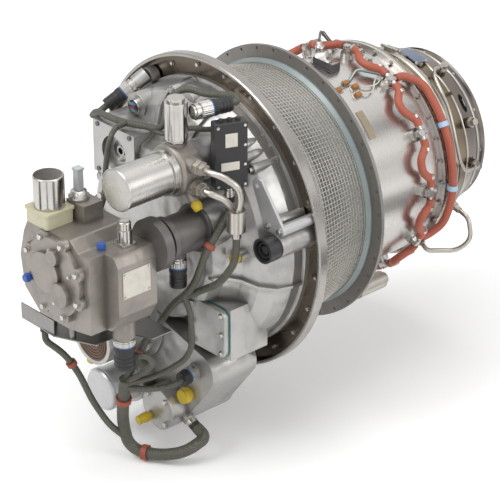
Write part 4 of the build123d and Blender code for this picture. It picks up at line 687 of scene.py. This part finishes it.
def control_details():
    """Bare plate, terminal block, screws and lockwires on the fuel control."""
    face = Vector((136 * MM, -0.433, 0.016))
    plate("control_plate", face + Vector((0.0006, 0, 0)), (0, 1, 0), (0, 0, 1), (0.055, 0.046, 0.0012),
          bare_plate)
    corners = [face + Vector((0.0012, y, z)) for y in (-0.024, 0.024) for z in (-0.0195, 0.0195)]
    head_row("control_plate_screws", [(corner, (1, 0, 0)) for corner in corners], 0.0016, 0.0008,
             bright_steel, 16)
    foot = Vector((-0.002, -0.432, 0.110))
    turned_piece("terminal_base", [(0, 0), (17, 0), (17, 5), (14, 6), (13, 13), (0, 14)], bright_steel,
                 foot, (0, 0, 1), 48)
    ring = 0.0145
    spots = [(foot + Vector((ring * cos(turn), ring * sin(turn), 0.005)), (0, 0, 1)) for turn in SIX_TURNS]
    head_row("terminal_screws", spots, 0.002, 0.002, bright_steel)
    for name, lift, width, height, bevel in (("terminal_block", 0.032, 0.012, 0.036, 0.001),
                                             ("terminal_block_top", 0.0505, 0.0145, 0.004, 0.0008)):
        plate(name, foot + UPWARD * lift, (1, 0, 0), (0, 1, 0), (width, width, height), pale_block, bevel)
    # Lockwires from head to head round the front cover
    bolt_ring, head_y, sag = 0.066, -0.5045, Vector((0, 0.0022, 0))
    bolts = [on_cover(bolt_ring, angle, head_y) for angle in (22.5, 67.5, 112.5, 157.5, 247.5, 292.5, 337.5)]
    for number, (first, second) in enumerate(((0, 1), (2, 3), (4, 5), (5, 6))):
        start, stop = bolts[first], bolts[second]
        wire(f"lockwire_{number}", [start, (start + stop) / 2 + sag, stop], 0.0005, bright_steel)


def box_details():
    """Two bare plates, six screws and three lugs on the electronics box."""
    facing = Vector((0.92, -0.38, 0)).normalized()
    along_box = UPWARD.cross(facing)
    to_face = facing * 0.0104
    face = Vector((0.1566, -0.2579, 0.1853)) + to_face

    def on_face(across, up):
        return face + along_box * across * MM + Vector((0, 0, up * MM))

    for name, spot, width, height in (("box_plate_upper", (0, 27), 0.020, 0.023),
                                      ("box_plate_lower", (-2, -17), 0.030, 0.014)):
        plate(name, on_face(*spot), along_box, (0, 0, 1), (width, height, 0.0006), bare_plate, 0.0002)
    spots = [(on_face(across, up), facing) for across in (-22, 22) for up in (-50, 50)]
    spots += [(on_face(22, up), facing) for up in (-16, 17)]
    head_row("box_screws", spots, 0.0021, 0.0011, bright_steel, 16)
    lugs = [(on_face(across, 53.5) - to_face + UPWARD * 0.0024, (0, 0, 1)) for across in (-14, 0, 14)]
    head_row("box_top_lugs", lugs, 0.004, 0.0035, black_plastic, 12, 1.1)


def case_details():
    """Bare plate, terminals and their wires, bracket, igniter and top fittings on the drum."""
    curved_plate("case_plate", DRUM + 0.2, (36, 52), (60, 75), 0.8, tan_plate)
    for number, (angle, y) in enumerate(((67.3, 61), (69.8, 84), (65.7, 95), (60.5, 87))):
        across = outward(angle).cross(ALONG_SHAFT)
        plate(f"terminal_{number}", on_case(DRUM + 3.5, angle, y), across, (0, 1, 0),
              (0.008, 0.012, 0.007), amber, 0.0008)
        plate(f"terminal_foot_{number}", on_case(DRUM + 0.8, angle, y), across, (0, 1, 0),
              (0.012, 0.018, 0.0016), bright_steel, 0.0004)
    # Sensor wires by their places: radius, angle, station
    wires = (
        (teal_wire, ((189, 69.8, 90), (190, 73.4, 111), (192, 74.7, 123), (190, 70.6, 141),
                     (192, 66.1, 155), (190, 62.5, 164))),
        (white_wire, ((189, 65.7, 101), (190, 62.7, 109), (192, 61.6, 130), (190, 63.3, 147),
                      (192, 66.1, 155))),
        (white_wire, ((189, 60.5, 93), (193, 58, 106), (191, 60, 122), (193, 65, 136), (191, 66, 150))),
        (teal_wire, ((189, 67.3, 67), (192, 70, 74), (189, 69.8, 79))),
    )
    for number, (material, places) in enumerate(wires):
        wire(f"sensor_wire_{number}", [on_case(*place) for place in places], 0.0014, material)
    beside = [on_case(*place) + Vector((0.001, 0.003, 0.002)) for place in wires[0][1][:5]]
    wire("sensor_wire_4", beside + [on_case(192, 63.4, 160)], 0.0012, white_wire)
    # Dark bracket on the top and the igniter boss behind it
    out = outward(88)
    across = out.cross(ALONG_SHAFT)
    plate("bracket_foot", on_case(DRUM + 0.9, 88, 96), across, (0, 1, 0), (0.044, 0.024, 0.0022),
          dark_bracket)
    plate("bracket_web", on_case(DRUM + 7, 88, 87), across, out, (0.044, 0.014, 0.002), dark_bracket)
    plate("bracket_wing", on_case(DRUM + 7, 81.5, 96), (0, 1, 0), out, (0.022, 0.014, 0.002), dark_bracket)
    head_row("bracket_bolts", [(on_case(DRUM + 2, angle, 99), out) for angle in (84, 92)], 0.0036, 0.0035,
             bright_steel)
    boss_angle = 97
    boss, boss_out = on_case(DRUM, boss_angle, 112), outward(boss_angle)
    turned_piece("igniter_boss", [(0, -4), (24, -4), (22, 3), (15, 9), (14, 16), (0, 16)], polished,
                 boss, boss_out, 64)
    turned_piece("igniter", [(0, 16), (8, 16), (8, 26), (5, 27), (5, 33), (3, 34), (0, 34)], bright_steel,
                 boss, boss_out, 24)
    side = boss_out.cross(ALONG_SHAFT)
    ring, lift = 0.0185, boss_out * 0.0055
    boss_bolts = [(boss + (side * cos(turn) + ALONG_SHAFT * sin(turn)) * ring + lift, boss_out)
                  for turn in SIX_TURNS]
    head_row("igniter_bolts", boss_bolts, 0.0025, 0.0028, bright_steel)
    # Looped lead from the igniter over the top of the case
    lead = [on_case(*place) for place in (
        (219, 97, 112), (228, 97, 114), (231, 99, 124), (226, 103, 140), (213, 106, 156), (199, 107, 168),
        (190, 107, 176))]
    wire("igniter_lead", lead, 0.0022, dark_bracket)
    wire("igniter_lead_thin", [place + Vector((0.004, 0.002, 0.001)) for place in lead[1:]], 0.0011,
         black_rubber)
    fittings = ((DRUM, 107, 178), (DRUM, 113, 150), (DRUM - 0.2, 79, 168))
    head_row("top_fittings", [(on_case(*place), outward(place[1])) for place in fittings], 0.007, 0.010,
             bright_steel)


def hose_details():
    """Collars on the ends of the fuel hoses' sleeves."""
    line, y = 202, 156  # radius and station of the ring of hoses
    clear = 7.4         # degrees from a nozzle to its collar
    spots = []
    for number in range(12):
        for side in (-1, 1):
            angle = 30 * number + side * clear
            near = on_case(line, angle, y)
            spots.append((near, on_case(line, angle + side, y - 0.4) - near))
    head_row("hose_collars", spots, 0.0077, 0.005, bright_steel, 28, 1.0, 0.0004)


def duct_wall(y):
    """Outer radius of the exhaust duct's cone at a station, in millimetres."""
    return 158 - (y - 290) * 19 / 58


def exhaust_details():
    """Beads, a dark sheet of painted shade inside the port, bare plate on posts, rim rivets and drawbolt of
    the exhaust duct.
    """
    for number, y in enumerate((294, 336)):
        foot = duct_wall(y) - 0.6
        turned_piece(f"exhaust_bead_{number}", [
            (foot, y - 3), (foot + 2.4, y - 1.6), (foot + 2.9, y), (foot + 2.4, y + 1.6), (foot, y + 3),
            (foot - 0.4, y)], satin_tube)
    # A near-black sheet inside the port: painted shade of the duct's interior
    curved_plate("port_shade", 141.5, (26, 48), (300, 336), 0.6, shaded_inside, 132)
    curved_plate("exhaust_plate", 170, (70, 85.5), (264, 292), 1.2, blue_plate, 166)
    posts = ((70.8, 290, 158), (84.7, 290, 158), (70.8, 266, 161), (84.7, 266, 161))
    for number, (angle, y, reach) in enumerate(posts):
        turned_piece(f"exhaust_plate_post_{number}", [(0, 0), (2.4, 0), (2.4, 10.5), (0, 10.5)], satin_tube,
                     on_case(reach - 0.4, angle, y), outward(angle), 20)
    rim_y = 344
    rivets = [(on_case(duct_wall(rim_y) - 0.4, angle, rim_y), outward(angle)) for angle in range(0, 360, 30)]
    head_row("exhaust_rim_rivets", rivets, 0.0022, 0.0012, bright_steel, 14)
    drawbolt = [Vector((x, 0.256, z)) for x, z in ((-0.020, 0.1735), (0, 0.1745), (0.020, 0.1735))]
    wire("strap_bolt", drawbolt, 0.0026, bright_steel)


def ribbed_collar(name, start, aim, first, last, radius, teeth, depth, material):
    """A grip ring: straight ribs round an axis, between two distances along it, in millimetres."""
    aim, side, other = axes_about(aim)
    steps = teeth * 4
    chamfer, groove = 0.3, depth * 0.6
    work = bmesh.new()
    rows = []
    for distance, ribbed in ((first, False), (first + chamfer, True), (last - chamfer, True), (last, False)):
        row = []
        for step in range(steps):
            turn = 2 * pi * step / steps
            reach = radius - ((groove if step % 4 > 1 else 0) if ribbed else depth)
            spoke = side * cos(turn) + other * sin(turn)
            row.append(work.verts.new((Vector(start) + aim * distance + spoke * reach) * MM))
        rows.append(row)
    for front, rear in zip(rows, rows[1:]):
        for step in range(steps):
            after = (step + 1) % steps
            work.faces.new((front[step], front[after], rear[after], rear[step]))
    work.faces.new(rows[0])
    work.faces.new(rows[-1])
    bmesh.ops.recalc_face_normals(work, faces=work.faces)
    return mesh_piece(name, work, material)


def connector_details():
    """Grip rings, blue bands and ribs of the connectors, and ribs round the screw caps."""
    # Each plug's start and aim, its shell's and cap's lengths, and its radius
    plugs = (
        ((-144, -196, 192), (-0.28, -0.8, -0.53), 26, 34, 12),
        ((104, -292, -214), (0.1, -1, -0.1), 14, 14, 13),
        ((113, -296, 252), (0.2, 1, 0), 34, 34, 13), ((98, -430, -96), (0, 0, -1), 16, 40, 17),
        ((120, -335, 20), (0, 0, -1), 18, 34, 14),
    )
    for number, (start, aim, shell, cap, radius) in enumerate(plugs):
        def ring(part, outline, material):
            turned_piece(f"plug_{number}_{part}", outline, material, Vector(start) * MM, aim, 48)

        ribbed_collar(f"plug_{number}_coupling", start, aim, max(4.5, shell * 0.4), shell - 1.5, radius + 0.9,
                      26, 0.9, bright_steel)
        ring("band", [(radius - 2, shell - 1.2), (radius + 0.3, shell - 1.2), (radius + 0.3, shell + 0.6),
                      (radius - 2, shell + 0.6)], blue_band)
        ribbed_collar(f"plug_{number}_grip", start, aim, shell + 0.8, shell + min(9.0, cap * 0.35),
                      radius + 0.5, 22, 0.9, black_rubber)
        for share in (0.5, 0.68, 0.86):
            at = shell + cap * share
            ring(f"rib_{int(share * 100)}", [
                (radius - 0.8, at - 0.9), (radius + 0.2, at - 0.6), (radius + 0.2, at + 0.6),
                (radius - 0.8, at + 0.9)], black_rubber)
    # Each cap's start, aim, length and radius
    caps = (
        ((132.9, -310, 112.1), (0.68, 0, -0.73), 16, 8), ((-33, -510, -13), FORWARD, 12, 7),
        ((88, -462, 64), (0, 0, 1), 10, 7), ((85, -286, -266), FORWARD, 16, 13),
        ((22, -318, -322), FORWARD, 26, 8),
        ((-63.41, -366, -221.4), (-0.41, 0, -0.91), 18, 8), ((172, -254, 10), FORWARD, 14, 8),
    )
    for number, (start, aim, length, radius) in enumerate(caps):
        ribbed_collar(f"cap_{number}_grip", start, aim, 4, length * 0.62, radius + 0.7, 20, 0.8, cap_plastic)


def casting_details():
    """Plugs in the starter pad's corners and screws on the fuel control's front cover."""
    pad, half = Vector((-0.078375, -0.2982, 0.118412)), 0.040
    corners = [(pad + Vector((x, 0, z)), FORWARD) for x in (-half, half) for z in (-half, half)]
    head_row("pad_plugs", corners, 0.0042, 0.0012, dark_bracket, 20, 1.0, 0.0003)
    ring, face_y = 0.045, -0.5102
    screws = [(on_cover(ring, angle, face_y), FORWARD) for angle in (20, 95, 170, 200, 275, 320)]
    head_row("cover_screws", screws, 0.0026, 0.0022, bright_steel, 16, 1.3)


def sight_details():
    """A wide black window in the oil sight glass."""
    outline = [(0, -243.7), (12.4, -243.7), (12.4, -244.5), (11.9, -245.0), (0, -245.0)]
    turned_piece("sight_window", outline, sight_face, (-0.092, 0, 0.18), (0, 1, 0), 64)


control_details()
box_details()
case_details()
hose_details()
exhaust_details()
connector_details()
casting_details()
sight_details()


# Floor, background and light
FLOOR_SHADE, SEEN_FLOOR = 0.93, 1.16    # for light on the object, and for what looks at the background
WORLD_LIGHT, SEEN_WORLD = 0.62, 1.0
FLOOR_REACH, FLOOR_GAP = 12.0, 0.002


def stage_material(name, shade):
    """A matt grey of one shade."""
    material = bpy.data.materials.new(name)
    material.use_nodes = True
    shader = material.node_tree.nodes["Principled BSDF"]
    shader.inputs["Base Color"].default_value = (shade, shade, shade, 1)
    shader.inputs["Roughness"].default_value = 0.9
    return material


def stage_sheet(name, corners, material):
    """A flat sheet of the stage, from its four corners."""
    mesh = bpy.data.meshes.new(name)
    mesh.from_pydata(corners, [], [(0, 1, 2, 3)])
    mesh.materials.append(material)
    sheet = bpy.data.objects.new(name, mesh)
    scene.collection.objects.link(sheet)
    return sheet


def background_rays(tree):
    """One where the camera, a metal or a glass looks at the background."""
    rays = put(tree, "ShaderNodeLightPath").outputs
    mirrored = maths(tree, "MAXIMUM", rays["Is Glossy Ray"], rays["Is Transmission Ray"])
    return maths(tree, "MAXIMUM", rays["Is Camera Ray"], mirrored)


def dark_card(name, place, target, width, height, shade=0.05):
    """A dark card beside or on the stage, which only glossy rays see."""
    middle = Vector(place)
    facing = (Vector(target) - middle).normalized()
    across = facing.cross(UPWARD).normalized() * width / 2
    up = across.cross(facing).normalized() * height / 2
    card = stage_sheet(name, [middle - across - up, middle + across - up, middle + across + up,
                              middle - across + up], stage_material(name + "_paint", shade))
    card.visible_camera = card.visible_diffuse = card.visible_shadow = card.visible_transmission = False


floor_z = cad_box[0].z - FLOOR_GAP
floor_paint = stage_material("floor_paint", FLOOR_SHADE)
tree = floor_paint.node_tree
seen_colour = mixed(tree, background_rays(tree), (FLOOR_SHADE,) * 3, (SEEN_FLOOR,) * 3)
tree.links.new(seen_colour, tree.nodes["Principled BSDF"].inputs["Base Color"])
corners = ((-1, -1), (1, -1), (1, 1), (-1, 1))
stage_sheet("floor", [(x * FLOOR_REACH, y * FLOOR_REACH, floor_z) for x, y in corners], floor_paint)
for name, place, width, height in (
        ("card_rear", (0.9, 2.6, 1.9), 3.0, 0.55), ("card_side", (3.2, 1.6, 0.55), 1.6, 0.5),
        ("card_front", (-2.6, -1.9, 0.9), 0.8, 2.4), ("card_left", (-2.2, 0.6, 1.6), 1.2, 1.2)):
    dark_card(name, place, (0, 0, 0), width, height)
card_lift, lean, aim_height = 0.004, 0.02, 10.0
for number, (x, y, width, length, shade) in enumerate((
        (0.75, 0.65, 0.9, 0.6, 0.22), (-0.25, -1.35, 0.3, 0.8, 0.05), (0.55, -1.1, 0.14, 0.8, 0.05),
        (0.9, -0.45, 0.3, 0.7, 0.05))):
    away = Vector((x, y, 0)).normalized() * lean
    dark_card(f"card_floor_{number}", (x, y, floor_z + card_lift), (x + away.x, y + away.y, aim_height),
              width, length, shade)

world = bpy.data.worlds.new("studio")
scene.world = world
world.use_nodes = True
tree = world.node_tree
tree.nodes.clear()
output = put(tree, "ShaderNodeOutputWorld")
plain, shown = (put(tree, "ShaderNodeBackground", {"Color": (1, 1, 1, 1), "Strength": strength}).outputs[0]
                for strength in (WORLD_LIGHT, SEEN_WORLD))
blend = put(tree, "ShaderNodeMixShader", {0: background_rays(tree), 1: plain, 2: shown})
tree.links.new(blend.outputs[0], output.inputs["Surface"])


def area_light(name, place, target, width, power):
    """A square lamp that faces a target."""
    data = bpy.data.lights.new(name, "AREA")
    data.shape = "SQUARE"
    data.size = width
    data.energy = power
    lamp = bpy.data.objects.new(name, data)
    scene.collection.objects.link(lamp)
    lamp.location = place
    lamp.rotation_mode = "QUATERNION"
    lamp.rotation_quaternion = (Vector(target) - Vector(place)).to_track_quat("-Z", "Y")
    return lamp


area_light("key", (-0.6, -2.6, 2.4), (0, -0.1, 0), 1.6, 42)
area_light("fill", (3.0, 0.6, 1.4), (0, 0, 0), 2.0, 26)
area_light("top", (0.2, 0.0, 3.0), (0, 0, 0), 2.2, 30)
